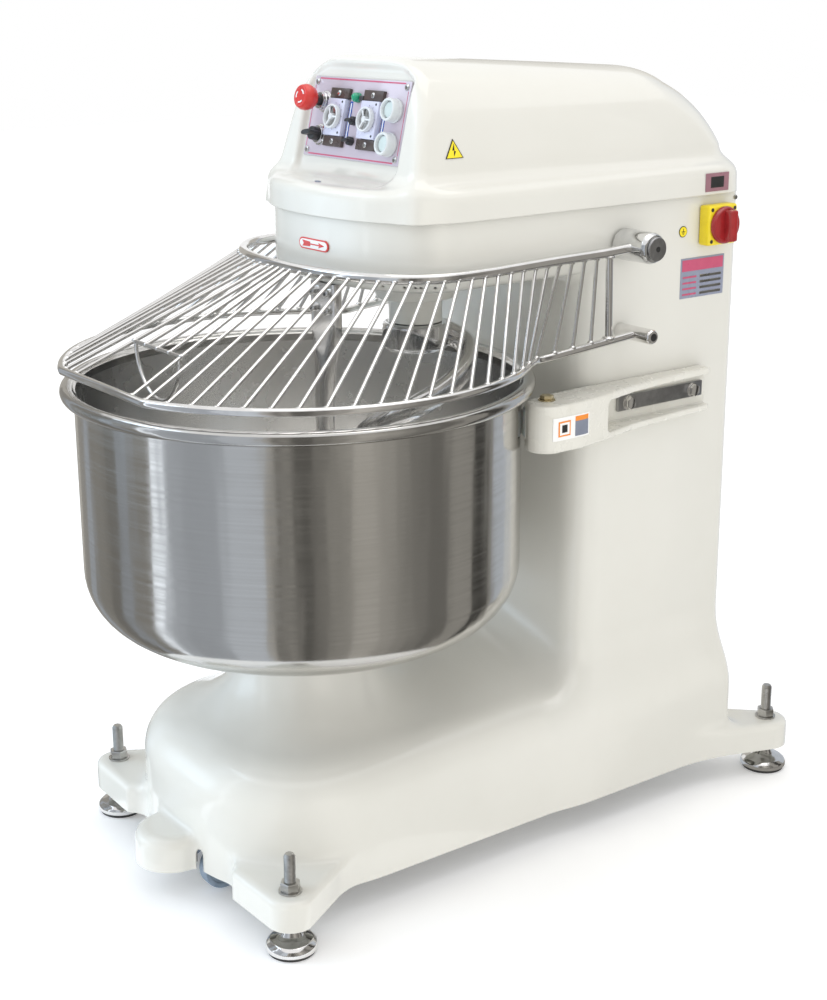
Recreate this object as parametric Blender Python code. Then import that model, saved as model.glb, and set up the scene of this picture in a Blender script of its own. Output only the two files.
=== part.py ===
"""Floor-standing spiral dough mixer with a fixed 700 mm bowl, in metres, +Z up.

The origin is on the floor, at the middle of the machine's footprint. +X is the operator's right
and -Y is the front, where the bowl is. Each named object is one sub-part. Distances along Y are
mostly given as back(d), which is d behind the bowl's axis.
"""

import math

import bmesh
import bpy
from mathutils import Matrix, Vector

# ---------------------------------------------------------------- driving dimensions
GAP = 0.0003                    # clearance between touching pieces
SEGMENTS = 24                   # facets of every shaft, bore and disc, so that they stay parallel
FEW = 16                        # the same, for small pieces

BOWL_Y = -0.243                 # bowl axis
BOWL_RADIUS = 0.350             # outside of the wall
BOWL_WALL = 0.003
BOWL_BOTTOM = 0.397
BOWL_DISH = 0.012               # how far the middle hangs below the wall's corner
BOWL_CORNER = 0.098
RIM_Z = 0.797
RIM_RADIUS = 0.361              # centre line of the rolled bead
RIM_BEAD = 0.011

SPINDLE_OFFSET = 0.230          # spindle axis behind the bowl axis
MOTOR_OFFSET = 0.560            # both motors' axis behind the bowl axis
BAR_OFFSET = 0.055              # breaker bar behind the bowl axis

BASE_HALF = 0.256
BASE_FRONT = 0.252              # front of the base ahead of the bowl axis
BASE_BOTTOM = 0.050
REAR = 0.745                    # rear face of base, column and head
COLUMN_HALF = 0.220
COLUMN_FRONT = 0.400
COLUMN_CORNER = 0.045
CASTING_WALL = 0.012
PEDESTAL_TOP = 0.365
PEDESTAL_RADIUS = 0.108         # neck under the bowl
BOSS_OFFSET = -0.262            # rounded boss at the front of the base

HEAD_HALF = 0.220
HEAD_FRONT = 0.029
HEAD_STRAIGHT = 0.110           # where the nose of the head turns into straight sides
HEAD_BOTTOM = 0.945
HEAD_TOP = 1.085
DECK_BOTTOM = 0.930
DECK_TOP = 0.957

SKIRT_HALF = 0.228
SKIRT_FRONT = 0.021
SKIRT_BOTTOM = 1.053
SKIRT_TOP = 1.100
SKIRT_REAR = 0.750
COVER_WALL = 0.004
COVER_CREST = 1.287             # highest line of the cover, at its front
COVER_SLOPE = 0.063             # fall of the cover's top per metre towards the rear
COVER_REAR_RADIUS = 0.140
HOOD_LEAN = math.radians(13.1)  # lean of the panel and of the hood round it, from upright
HOOD_FOOT = (0.087, 1.108)      # foot of the hood's face: behind the bowl axis, height

PANEL_CENTRE = (0.1155, 1.1916) # middle of the panel's front face: behind the bowl axis, height
PANEL_HALF = (0.128, 0.063)
PANEL_THICK = 0.003

GUARD_HINGE = (0.476, 0.990)    # behind the bowl axis, height
GUARD_TOP_Z = 0.979
GUARD_LOW_Z = 0.835
GUARD_STOP_Z = 0.850            # height of the pegs under the arms
GUARD_HALF = 0.252
GUARD_NOSE = (0.130, 0.155, 2.2)  # centre behind the bowl axis, depth and power of the nose
GUARD_LOW_RADIUS = 0.365
GUARD_CHORD = 0.342
GUARD_ARM_X = 0.262
GUARD_TUBE = 0.008
GUARD_LOW_TUBE = 0.0065
GUARD_WIRE = 0.0031
HUB_RADIUS = 0.025
STOP_RADIUS = 0.012

FOOT_X = 0.276
FOOT_FRONT = -0.213
FOOT_REAR = 0.818
FOOT_RADIUS = 0.040
STUD_RADIUS = 0.009
STUD_TOP = 0.160
LUG_TOP = 0.098

ROLLER_CENTRE = (0.256, 0.292)
ROLLER_RADIUS = 0.038
ROLLER_HEIGHTS = (0.712, 0.755)
ARM_HEIGHTS = (0.693, 0.768)

BELT_SMALL = 0.035              # radius of both motors' pulleys
BOWL_PULLEY_RADIUS = 0.150
SPINDLE_PULLEY_RADIUS = 0.130
LOW_BELT = (0.100, 0.140)       # heights of the pulleys of the bowl's drive
HIGH_BELT = (1.034, 1.080)      # heights of the pulleys of the spiral's drive

WHEEL_CENTRE = (0.058, -0.203, 0.041)   # to the side, behind the bowl axis, height
WHEEL_RADIUS = 0.038
WHEEL_HALF = 0.011
WHEEL_STUB = 0.005

PAINT = (0.90, 0.89, 0.83)
STAINLESS = (0.62, 0.61, 0.59)
BLACK = (0.02, 0.02, 0.02)


def back(distance):
    """World Y of a place that lies this far behind the bowl's axis."""
    return BOWL_Y + distance


# ---------------------------------------------------------------- making objects
def clear_scene():
    for item in list(bpy.data.objects):
        bpy.data.objects.remove(item, do_unlink=True)


def material(name, colour, roughness=0.5, metallic=0.0):
    found = bpy.data.materials.get(name)
    if found:
        return found
    made = bpy.data.materials.new(name)
    made.use_nodes = True
    shader = made.node_tree.nodes["Principled BSDF"]
    shader.inputs["Base Color"].default_value = (*colour, 1.0)
    shader.inputs["Roughness"].default_value = roughness
    shader.inputs["Metallic"].default_value = metallic
    return made


def paint():
    return material("cream_enamel", PAINT, 0.25)


def stainless():
    return material("stainless_steel", STAINLESS, 0.25, 1.0)


def steel():
    return material("machined_steel", (0.45, 0.45, 0.46), 0.35, 1.0)


def cast_iron():
    return material("pulley_iron", (0.16, 0.17, 0.18), 0.55, 0.8)


def rubber():
    return material("black_rubber", BLACK, 0.8)


def black_plastic():
    return material("black_plastic", (0.03, 0.03, 0.035), 0.4)


def clear_plastic():
    return material("clear_plastic", (0.85, 0.87, 0.86), 0.2)


def signal_red():
    return material("signal_red", (0.75, 0.05, 0.03), 0.35)


def make_object(bm, name, finish, sharp=35.0):
    """Turns a bmesh into a named object, with its faces outward and its round parts smooth."""
    bmesh.ops.remove_doubles(bm, verts=bm.verts, dist=1e-6)
    bmesh.ops.recalc_face_normals(bm, faces=bm.faces)
    mesh = bpy.data.meshes.new(name)
    bm.to_mesh(mesh)
    bm.free()
    mesh.shade_smooth()
    mesh.set_sharp_from_angle(angle=math.radians(sharp))
    item = bpy.data.objects.new(name, mesh)
    if finish:
        mesh.materials.append(finish)
    bpy.context.scene.collection.objects.link(item)
    return item


def loft(bm, rings, closed_path=False):
    """Skins a list of rings of points, and closes both ends unless the path closes on itself."""
    rows = [[bm.verts.new(point) for point in ring] for ring in rings]
    count = len(rows[0])
    pairs = list(zip(rows, rows[1:]))
    if closed_path:
        pairs.append((rows[-1], rows[0]))
    for lower, upper in pairs:
        for i in range(count):
            j = (i + 1) % count
            bm.faces.new((lower[i], lower[j], upper[j], upper[i]))
    if not closed_path:
        bm.faces.new(rows[0][::-1])
        bm.faces.new(rows[-1])


def lathe(bm, profile, matrix=None, segments=SEGMENTS):
    """Turns a closed outline of (radius, height) points about Z. A radius of 0 makes a pole."""
    turned = []
    for radius, height in profile:
        if radius <= 0.0:
            turned.append([bm.verts.new((0.0, 0.0, height))])
            continue
        ring = []
        for i in range(segments):
            angle = 2.0 * math.pi * i / segments
            ring.append(bm.verts.new((radius * math.cos(angle), radius * math.sin(angle), height)))
        turned.append(ring)
    for first, second in zip(turned, turned[1:] + turned[:1]):
        for i in range(segments):
            j = (i + 1) % segments
            lower = [first[i % len(first)], first[j % len(first)]]
            upper = [second[j % len(second)], second[i % len(second)]]
            face = list(dict.fromkeys(lower + upper))
            if len(face) > 2:
                bm.faces.new(face)
    if matrix:
        bmesh.ops.transform(bm, matrix=matrix, verts=[v for ring in turned for v in ring])


def turned_part(name, profile, finish, matrix=None, segments=SEGMENTS):
    bm = bmesh.new()
    lathe(bm, profile, matrix, segments)
    return make_object(bm, name, finish)


def tube(inner, outer, low, high):
    """Profile of a plain ring."""
    return [(inner, low), (outer, low), (outer, high), (inner, high)]


def disc(radius, low, high):
    """Profile of a plain solid disc."""
    return [(0.0, low), (radius, low), (radius, high), (0.0, high)]


def sweep(bm, path, radius, sides, closed_path=False, flat=1.0):
    """Carries a round or oval section along a path of points."""
    count = len(path)
    rings = []
    for i, point in enumerate(path):
        ahead = path[(i + 1) % count] if closed_path or i + 1 < count else path[i]
        behind = path[i - 1] if closed_path or i > 0 else path[i]
        tangent = (ahead - behind).normalized()
        side = tangent.cross(Vector((0.0, 0.0, 1.0)))
        if side.length < 0.05:
            side = Vector((1.0, 0.0, 0.0))
        side.normalize()
        up = side.cross(tangent).normalized()
        size = radius(i / (count - 1)) if callable(radius) else radius
        ring = []
        for k in range(sides):
            angle = 2.0 * math.pi * (k + 0.5) / sides
            across = side * (size * flat * math.cos(angle))
            ring.append(point + across + up * (size * math.sin(angle)))
        rings.append(ring)
    loft(bm, rings, closed_path)


def box(bm, low, high):
    corners = bmesh.ops.create_cube(bm, size=1.0)["verts"]
    size = Vector(high) - Vector(low)
    middle = (Vector(high) + Vector(low)) / 2.0
    matrix = Matrix.Translation(middle) @ Matrix.Diagonal((*size, 1.0))
    bmesh.ops.transform(bm, matrix=matrix, verts=corners)


def block(name, low, high, finish, bevel=0.0, segments=2):
    """A box with its edges rounded by a Bevel modifier."""
    bm = bmesh.new()
    box(bm, low, high)
    item = make_object(bm, name, finish)
    if bevel:
        rounding = item.modifiers.new("rounding", "BEVEL")
        rounding.width = bevel
        rounding.segments = segments
    return item


def prism(name, outline, low, high, finish):
    """An outline of (x, y) points, extruded from one height to another."""
    bm = bmesh.new()
    loft(bm, [[(x, y, z) for x, y in outline] for z in (low, high)])
    return make_object(bm, name, finish)


def bake(item):
    """Replaces an object's mesh by what its modifiers make of it."""
    graph = bpy.context.evaluated_depsgraph_get()
    graph.update()
    mesh = bpy.data.meshes.new_from_object(item.evaluated_get(graph))
    item.modifiers.clear()
    item.data = mesh
    tidy = bmesh.new()
    tidy.from_mesh(mesh)
    bmesh.ops.remove_doubles(tidy, verts=tidy.verts, dist=2e-5)
    bmesh.ops.dissolve_degenerate(tidy, edges=tidy.edges, dist=2e-5)
    tidy.to_mesh(mesh)
    tidy.free()
    return item


def combine(item, tools, operation):
    """Joins the tools to an object, or cuts them out of it, one at a time, and removes them."""
    for tool in tools:
        step = item.modifiers.new(operation.lower(), "BOOLEAN")
        step.operation = operation
        step.object = tool
        step.solver = "EXACT"
        bake(item)
        bpy.data.objects.remove(tool, do_unlink=True)
    return item


def place(item, parent, location=(0.0, 0.0, 0.0)):
    item.parent = parent
    item.location = location
    return item


def pivot(item, centre):
    """Puts an object's origin on its joint's axis, leaving its shape where it is."""
    item.data.transform(Matrix.Translation(-Vector(centre)))
    item.location = centre
    return item


def upright(x, y):
    """Stands a turned part at a place in plan."""
    return Matrix.Translation((x, y, 0.0))


def sideways(start, side=1.0):
    """Turns a part made along Z so that it runs outward along X from the given point."""
    return Matrix.Translation(start) @ Matrix.Rotation(side * math.pi / 2.0, 4, "Y")


def paint_all(item, finish):
    """Gives an object one material for all its faces."""
    item.data.materials.clear()
    item.data.materials.append(finish)


# ---------------------------------------------------------------- outlines in plan
def arc(centre, radius, start, end, steps):
    points = []
    for i in range(steps + 1):
        angle = math.radians(start + (end - start) * i / steps)
        points.append((centre[0] + radius * math.cos(angle), centre[1] + radius * math.sin(angle)))
    return points


def nose_outline(half, front, straight, rear, power, rear_radius, steps=12, corner_steps=3):
    """Straight sides, a flat rear and a superellipse nose. Distances are from the bowl axis."""
    depth = straight - front
    nose = []
    for i in range(-steps, steps + 1):
        angle = math.pi / 2.0 * i / steps
        across = math.copysign(abs(math.sin(angle)) ** (2.0 / power), angle)
        ahead = abs(math.cos(angle)) ** (2.0 / power)
        nose.append((half * across, back(straight - depth * ahead)))
    corner_y = back(rear) - rear_radius
    right = arc((half - rear_radius, corner_y), rear_radius, 0.0, 90.0, corner_steps)
    left = arc((rear_radius - half, corner_y), rear_radius, 90.0, 180.0, corner_steps)
    return nose + right + left


def box_outline(half, front, rear, front_radius, rear_radius, steps=5):
    """A rounded rectangle. Distances are from the bowl axis."""
    low = back(front) + front_radius
    high = back(rear) - rear_radius
    points = arc((front_radius - half, low), front_radius, 180.0, 270.0, steps)
    points += arc((half - front_radius, low), front_radius, 270.0, 360.0, steps)
    points += arc((half - rear_radius, high), rear_radius, 0.0, 90.0, steps)
    points += arc((rear_radius - half, high), rear_radius, 90.0, 180.0, steps)
    return points


def stack(name, levels, outline, finish=None):
    """Skins outlines at several heights; levels holds (height, inset) pairs."""
    bm = bmesh.new()
    loft(bm, [[(x, y, height) for x, y in outline(inset)] for height, inset in levels])
    return make_object(bm, name, finish)


# ---------------------------------------------------------------- machine frame
def base_outline(inset):
    return nose_outline(BASE_HALF - inset, -BASE_FRONT + inset, 0.0, REAR - inset, 2.6, 0.03)


def head_outline(inset):
    return nose_outline(HEAD_HALF - inset, HEAD_FRONT + inset, HEAD_STRAIGHT, REAR - inset, 2.5, 0.03)


def column_outline(spread):
    return box_outline(COLUMN_HALF + spread, COLUMN_FRONT - spread, REAR, COLUMN_CORNER, 0.025)


def lug(name, side, foot_y, outline):
    """An outrigger for one levelling foot: a web from the base to a rounded end round the stud."""
    points = [(side * x, back(y)) for x, y in outline(foot_y)]
    item = prism(name, points, BASE_BOTTOM + 0.0011, LUG_TOP, None)
    rounding = item.modifiers.new("rounding", "BEVEL")
    rounding.width = 0.006
    rounding.segments = 1
    rounding.limit_method = "ANGLE"
    rounding.angle_limit = math.radians(60.0)
    return bake(item)


def front_lug(foot_y):
    end = arc((FOOT_X, foot_y), 0.038, -85.0, 15.0, 5)
    return [(0.100, -0.190), (0.172, -0.253), *end, (0.254, -0.100), (0.215, -0.060)]


def rear_lug(foot_y):
    end = arc((FOOT_X, foot_y), 0.038, -15.0, 100.0, 5)
    return [(0.180, 0.700), (0.225, 0.640), (0.252, 0.640), *end, (0.160, 0.742)]


def frame_outside():
    """Base, column, head, pedestal, boss and outriggers as one solid."""
    base = stack(
        "machine_frame",
        [(BASE_BOTTOM, 0.004), (0.056, 0.0), (0.150, 0.001), (0.185, 0.004), (0.205, 0.010),
         (0.222, 0.020), (0.236, 0.040), (0.247, 0.064), (0.256, 0.088)],
        base_outline,
    )
    column = stack(
        "column",
        [(0.100, 0.030), (0.205, 0.030), (0.225, 0.021), (0.250, 0.010), (0.280, 0.003),
         (0.315, 0.0), (1.000, 0.0)],
        column_outline,
    )
    head = stack(
        "head",
        [(HEAD_BOTTOM, 0.030), (0.951, 0.014), (0.962, 0.004), (0.978, 0.0), (HEAD_TOP, 0.0)],
        head_outline,
    )
    pedestal = turned_part(
        "pedestal",
        [(0.0, 0.200), (0.160, 0.200), (0.160, 0.252), (0.150, 0.270), (0.137, 0.288),
         (0.122, 0.303), (0.112, 0.318), (PEDESTAL_RADIUS, 0.335),
         (PEDESTAL_RADIUS, PEDESTAL_TOP), (0.0, PEDESTAL_TOP)],
        None, upright(0.0, BOWL_Y), 36,
    )
    boss = turned_part(
        "boss",
        [(0.0, 0.0493), (0.056, 0.0493), (0.058, 0.053), (0.058, 0.098), (0.050, 0.105),
         (0.0, 0.105)],
        None, upright(0.0, back(BOSS_OFFSET)),
    )
    lugs = []
    for side in (-1.0, 1.0):
        lugs.append(lug("front_lug", side, FOOT_FRONT, front_lug))
        lugs.append(lug("rear_lug", side, FOOT_REAR, rear_lug))
    return combine(base, [column, head, pedestal, boss, *lugs], "UNION")


def frame_hollows():
    """The spaces inside the casting: under the base, in the column and in the head."""
    wall = CASTING_WALL
    base = stack("base_room", [(0.020, wall), (0.170, wall), (0.190, wall + 0.014)], base_outline)
    column = block(
        "column_room", (-COLUMN_HALF + wall, back(COLUMN_FRONT + wall), 0.215),
        (COLUMN_HALF - wall, back(REAR - 0.020), DECK_BOTTOM), None,
    )
    door = block(
        "door", (-0.190, back(REAR - 0.030), 0.250), (0.190, back(REAR + 0.060), 0.920), None,
    )
    head = stack("head_room", [(DECK_TOP, wall + 0.010), (0.975, wall), (1.120, wall)], head_outline)
    pedestal = turned_part(
        "pedestal_room",
        [(0.0, 0.180), (0.146, 0.180), (0.146, 0.245), (0.122, 0.280), (0.098, 0.310),
         (0.095, 0.345), (0.0, 0.345)],
        None, upright(0.0, BOWL_Y),
    )
    return [base, column, door, head, pedestal]


def frame_inserts():
    """Bearing seat in the pedestal, and the plate, ribs and cheeks that carry the wheels."""
    seat = turned_part(
        "bearing_seat", disc(0.078, 0.270, PEDESTAL_TOP - 0.001), None, upright(0.0, BOWL_Y),
    )
    side_x, offset, axle_z = WHEEL_CENTRE
    plate_low, plate_high = 0.0857, 0.0963
    plate = block(
        "wheel_plate", (-0.084, back(-0.2425), plate_low), (0.084, back(-0.155), plate_high), None,
    )
    pieces = [seat, plate]
    for side in (-1.0, 1.0):
        rib_x = side * 0.050
        pieces.append(block(
            "rib", (rib_x - 0.0041, back(-0.2419), 0.0901), (rib_x + 0.0041, back(-0.167), 0.2003),
            None,
        ))
        for edge in (-1.0, 1.0):
            cheek_x = side * side_x + edge * (WHEEL_HALF + 0.0037)
            pieces.append(block(
                "cheek", (cheek_x - 0.0025, back(offset - 0.013), axle_z - 0.012),
                (cheek_x + 0.0025, back(offset + 0.014), plate_low + 0.0048), None,
            ))
    return pieces


def frame_bores():
    """Holes for bearings, motor shafts, levelling studs and wheel stubs."""
    holes = [
        turned_part("bearing_bore", disc(0.0603, 0.260, 0.400), None, upright(0.0, BOWL_Y)),
    ]
    for offset, radius, low, high in (
        (SPINDLE_OFFSET, 0.0503, 0.900, 1.000),
        (MOTOR_OFFSET, 0.030, 0.900, 1.000),
        (MOTOR_OFFSET, 0.030, 0.150, 0.250),
    ):
        spot = upright(0.0, back(offset))
        holes.append(turned_part("bore", disc(radius, low, high), None, spot))
    for side in (-1.0, 1.0):
        for foot_y in (FOOT_FRONT, FOOT_REAR):
            spot = upright(side * FOOT_X, back(foot_y))
            hole = disc(STUD_RADIUS + 0.0005, 0.030, 0.130)
            holes.append(turned_part("stud_hole", hole, None, spot, FEW))
        holes += wheel_holes(side)
    return holes


def wheel_holes(side):
    """Room for one wheel in the front wall, and the hole for its stubs."""
    side_x, offset, axle_z = WHEEL_CENTRE
    middle = side * side_x
    reach = WHEEL_HALF + 0.0010
    room = block(
        "wheel_room", (middle - reach, back(offset - WHEEL_RADIUS - 0.0015), 0.040),
        (middle + reach, back(offset), 0.0825), None,
    )
    start = (middle - 0.025, back(offset), axle_z)
    hole = turned_part("stub_hole", disc(WHEEL_STUB + GAP, 0.0, 0.050), None, sideways(start), FEW)
    return [room, hole]


def machine_frame():
    """One hollow casting, open below, behind and on top."""
    frame = combine(frame_outside(), frame_hollows(), "DIFFERENCE")
    combine(frame, frame_inserts(), "UNION")
    combine(frame, frame_bores(), "DIFFERENCE")
    paint_all(frame, paint())


def rear_cover():
    block(
        "rear_cover", (-0.205, back(REAR) + GAP, 0.235), (0.205, back(REAR) + 0.0028, 0.938),
        paint(), 0.0010, 1,
    )


# ---------------------------------------------------------------- top cover
def skirt_levels():
    """Rings of the rounded skirt: height, inset at the sides, at the front, at the rear, blend."""
    levels = []
    for height, side_in, front_in, rear_in, blend in (
        (SKIRT_BOTTOM, 0.0, 0.0, 0.0, 0.0),
        (SKIRT_TOP - 0.010, 0.0, 0.0, 0.0, 0.0),
        (SKIRT_TOP - 0.002, 0.005, 0.005, 0.003, 0.0),
        (SKIRT_TOP + 0.002, 0.015, 0.018, 0.005, 0.2),
    ):
        levels.append({
            "z": height, "half": SKIRT_HALF - side_in, "front": SKIRT_FRONT + front_in,
            "rear": SKIRT_REAR - rear_in, "blend": blend,
        })
    return levels


def hood_levels():
    """Rings of the hood: its face leans back, and its rear comes round on one radius."""
    levels = []
    for height, half, soft in (
        (1.108, 0.195, 0.0), (1.125, 0.189, 0.0), (1.222, 0.172, 0.0), (1.240, 0.163, 0.0),
        (1.258, 0.142, 0.0), (1.274, 0.118, 0.002), (1.283, 0.103, 0.006),
        (COVER_CREST, 0.085, 0.020),
    ):
        front = HOOD_FOOT[0] + math.tan(HOOD_LEAN) * (height - HOOD_FOOT[1]) + soft
        above = max(height - (COVER_CREST - COVER_REAR_RADIUS), 0.0)
        reach = math.sqrt(max(COVER_REAR_RADIUS ** 2 - above ** 2, 0.0))
        rear = SKIRT_REAR - 0.005 - COVER_REAR_RADIUS + reach
        levels.append({"z": height, "half": half, "front": front, "rear": rear, "blend": 1.0})
    return levels


def cover_levels(inset):
    """Rings of the cover from its lower edge to its top, drawn in by the inset."""
    levels = skirt_levels() + hood_levels()
    for number, level in enumerate(levels):
        level["half"] -= inset
        level["front"] += inset
        level["rear"] -= inset
        if number > 1:
            level["z"] -= inset
    return levels


def cover_ring(level):
    """One ring: the skirt's rounded nose turns into the hood's flat face as blend goes to 1."""
    nose = nose_outline(level["half"], level["front"], HEAD_STRAIGHT, level["rear"], 2.5, 0.035)
    start = level["front"]
    square = nose_outline(level["half"], start, start + 0.060, level["rear"], 7.0, 0.035)
    ring = []
    for (ax, ay), (bx, by) in zip(nose, square):
        x = ax + (bx - ax) * level["blend"]
        y = ay + (by - ay) * level["blend"]
        fall = min(max(level["z"] - SKIRT_TOP, 0.0) / (COVER_CREST - SKIRT_TOP - 0.010), 1.0)
        drop = COVER_SLOPE * fall * (y - back(0.140))
        ring.append((x, y, level["z"] - drop))
    return ring


def panel_frame():
    """An empty on the panel's front face: local X is right, Y up the panel and Z out of it."""
    empty = bpy.data.objects.new("panel_frame", None)
    empty.location = (0.0, back(PANEL_CENTRE[0]), PANEL_CENTRE[1])
    empty.rotation_euler = (math.pi / 2.0 - HOOD_LEAN, 0.0, 0.0)
    bpy.context.scene.collection.objects.link(empty)
    bpy.context.view_layer.update()
    return empty


def top_cover(panel):
    """A thin moulded hood, open below, with a sunk window for the control panel."""
    outer = [cover_ring(level) for level in cover_levels(0.0)]
    inner = [cover_ring(level) for level in cover_levels(COVER_WALL)]
    cover = skin_cover(outer, inner)
    half_x, half_y = PANEL_HALF
    rim = 0.010
    side = half_x + rim
    tray = block("tray", (-side, -half_y - rim, -0.0075), (side, half_y + 0.008, 0.0065), None)
    slack = 0.002
    pocket = block(
        "pocket", (-half_x - slack, -half_y - slack, -PANEL_THICK - GAP),
        (half_x + slack, half_y + slack, 0.060), None,
    )
    window = block("window", (-0.112, -0.049, -0.060), (0.112, 0.049, 0.060), None)
    for tool in (tray, pocket, window):
        tool.matrix_world = panel.matrix_world.copy()
    combine(cover, [tray], "UNION")
    combine(cover, [pocket, window], "DIFFERENCE")
    paint_all(cover, paint())


def skin_cover(outer, inner):
    """Builds the shell: outer rings, inner rings, two lids and the edge that joins them."""
    bm = bmesh.new()
    outside = [[bm.verts.new(point) for point in ring] for ring in outer]
    inside = [[bm.verts.new(point) for point in ring] for ring in inner]
    count = len(outside[0])
    for rows, flip in ((outside, False), (inside, True)):
        for lower, upper in zip(rows, rows[1:]):
            for i in range(count):
                j = (i + 1) % count
                face = (lower[i], lower[j], upper[j], upper[i])
                bm.faces.new(face[::-1] if flip else face)
    bm.faces.new(outside[-1])
    bm.faces.new(inside[-1][::-1])
    for i in range(count):
        j = (i + 1) % count
        bm.faces.new((outside[0][j], outside[0][i], inside[0][i], inside[0][j]))
    return make_object(bm, "top_cover", paint())


# ---------------------------------------------------------------- control panel
def control_panel(panel):
    half_x, half_y = PANEL_HALF
    plate = block(
        "control_panel", (-half_x, -half_y, -PANEL_THICK), (half_x, half_y, 0.0),
        material("panel_acrylic", (0.80, 0.60, 0.62), 0.2), 0.0008, 1,
    )
    place(plate, panel)


def emergency_stop(panel, spot):
    collar = turned_part("estop_collar", tube(0.0086, 0.0145, GAP, 0.014), stainless(), None, FEW)
    stem = turned_part("estop_stem", disc(0.0080, 0.006, 0.030), black_plastic(), None, FEW)
    head = [
        (0.0, 0.0305), (0.0083, 0.0305), (0.0083, 0.0240), (0.0125, 0.0240), (0.0190, 0.0300),
        (0.0205, 0.0370), (0.0190, 0.0455), (0.0140, 0.0510), (0.0, 0.0520),
    ]
    button = turned_part("estop_button", head, signal_red(), None, FEW)
    for item in (collar, stem, button):
        place(item, panel, (*spot, 0.0))


def push_button(panel, name, spot):
    white = material("white_plastic", (0.88, 0.89, 0.87), 0.3)
    bezel = turned_part(f"{name}_bezel", tube(0.0130, 0.0185, GAP, 0.018), clear_plastic(), None, FEW)
    cap = turned_part(f"{name}_button", disc(0.0124, 0.0045, 0.0150), white, None, FEW)
    place(bezel, panel, (*spot, 0.0))
    place(cap, panel, (*spot, 0.0))


def selector(panel, name, spot, radius, height, start):
    """A round black knob with a finger grip across it."""
    knob = turned_part(name, disc(radius, start, start + height * 0.45), black_plastic(), None, FEW)
    low = (-radius * 1.25, -radius * 0.34, start + 0.001)
    high = (radius * 1.05, radius * 0.34, start + height)
    grip = block(f"{name}_grip", low, high, None)
    combine(knob, [grip], "UNION")
    paint_all(knob, black_plastic())
    place(knob, panel, (*spot, 0.0))


def timer(panel, name, spot):
    grey = material("timer_grey", (0.75, 0.76, 0.80), 0.35)
    body = block(f"{name}_body", (-0.025, -0.029, GAP), (0.025, 0.029, 0.010), grey, 0.0015, 1)
    shape = [(0.0, 0.0103), (0.0190, 0.0103), (0.0190, 0.0150), (0.0150, 0.0185), (0.0, 0.0185)]
    dial = turned_part(f"{name}_knob", shape, clear_plastic(), None, FEW)
    pointer = block("pointer", (-0.0012, 0.0, 0.0150), (0.0012, 0.0140, 0.0205), None)
    combine(dial, [pointer], "UNION")
    place(body, panel, (*spot, 0.0))
    place(dial, panel, (*spot, 0.0))


def panel_controls(panel):
    control_panel(panel)
    emergency_stop(panel, (-0.088, 0.023))
    bezel = turned_part("selector_bezel", disc(0.0145, GAP, 0.0080), stainless(), None, FEW)
    place(bezel, panel, (-0.088, -0.029, 0.0))
    selector(panel, "bowl_selector_knob", (-0.088, -0.029), 0.0110, 0.022, 0.0083)
    selector(panel, "mode_selector_knob", (0.0, -0.003), 0.0070, 0.016, GAP)
    selector(panel, "speed_selector_knob", (0.0, -0.034), 0.0070, 0.016, GAP)
    lens = [(0.0, GAP), (0.0080, GAP), (0.0080, 0.008), (0.0055, 0.012), (0.0, 0.0135)]
    lamp = turned_part("pilot_lamp", lens, material("pilot_green", (0.02, 0.35, 0.14), 0.25), None, FEW)
    place(lamp, panel, (0.0, 0.033, 0.0))
    timer(panel, "first_timer", (-0.045, 0.0))
    timer(panel, "second_timer", (0.045, 0.0))
    push_button(panel, "start", (0.100, 0.018))
    push_button(panel, "stop", (0.100, -0.033))


# ---------------------------------------------------------------- bowl and its drive
def bowl():
    """Spun bowl: a dished bottom, a wall and a rolled bead."""
    corner_z = BOWL_BOTTOM + BOWL_DISH
    flat = BOWL_RADIUS - BOWL_CORNER

    def skin(thickness):
        points = [(0.0, BOWL_BOTTOM + thickness)]
        for part in (0.45, 0.8, 1.0):
            points.append((flat * part, BOWL_BOTTOM + BOWL_DISH * part ** 2 + thickness))
        centre = (flat, corner_z + BOWL_CORNER)
        points += arc(centre, BOWL_CORNER - thickness, -90.0, 0.0, 5)[1:]
        return points

    bead = arc((RIM_RADIUS, RIM_Z), RIM_BEAD, -150.0, 150.0, 7)
    shoulder = [(BOWL_RADIUS, RIM_Z - 0.0085)]
    lip = [(BOWL_RADIUS - BOWL_WALL, RIM_Z + 0.004)]
    profile = skin(0.0) + shoulder + bead + lip + skin(BOWL_WALL)[::-1]
    turned_part("bowl", profile, stainless(), upright(0.0, BOWL_Y), 40)


def bowl_drive():
    """Shaft and flange under the bowl, its bearing, its pulley, and the motor in the column."""
    at_bowl = upright(0.0, BOWL_Y)
    shaft = 0.030
    bore = shaft + GAP
    hub = [(bore, 0.3665), (0.096, 0.3665), (0.104, 0.374), (0.104, 0.3955), (bore, 0.3955)]
    turned_part("bowl_hub", hub, steel(), at_bowl)
    turned_part("bowl_shaft", disc(shaft, LOW_BELT[0] - 0.005, 0.3955), steel(), at_bowl)
    turned_part("bowl_bearing", tube(bore, 0.0600, 0.2750, 0.3630), steel(), at_bowl)
    turned_part("bowl_pulley", tube(bore, BOWL_PULLEY_RADIUS, *LOW_BELT), cast_iron(), at_bowl)
    motor_drive("bowl", 0.2155, 0.480, 0.085, LOW_BELT, False)
    belt("bowl_belt", 0.0, BOWL_PULLEY_RADIUS, LOW_BELT)


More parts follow.
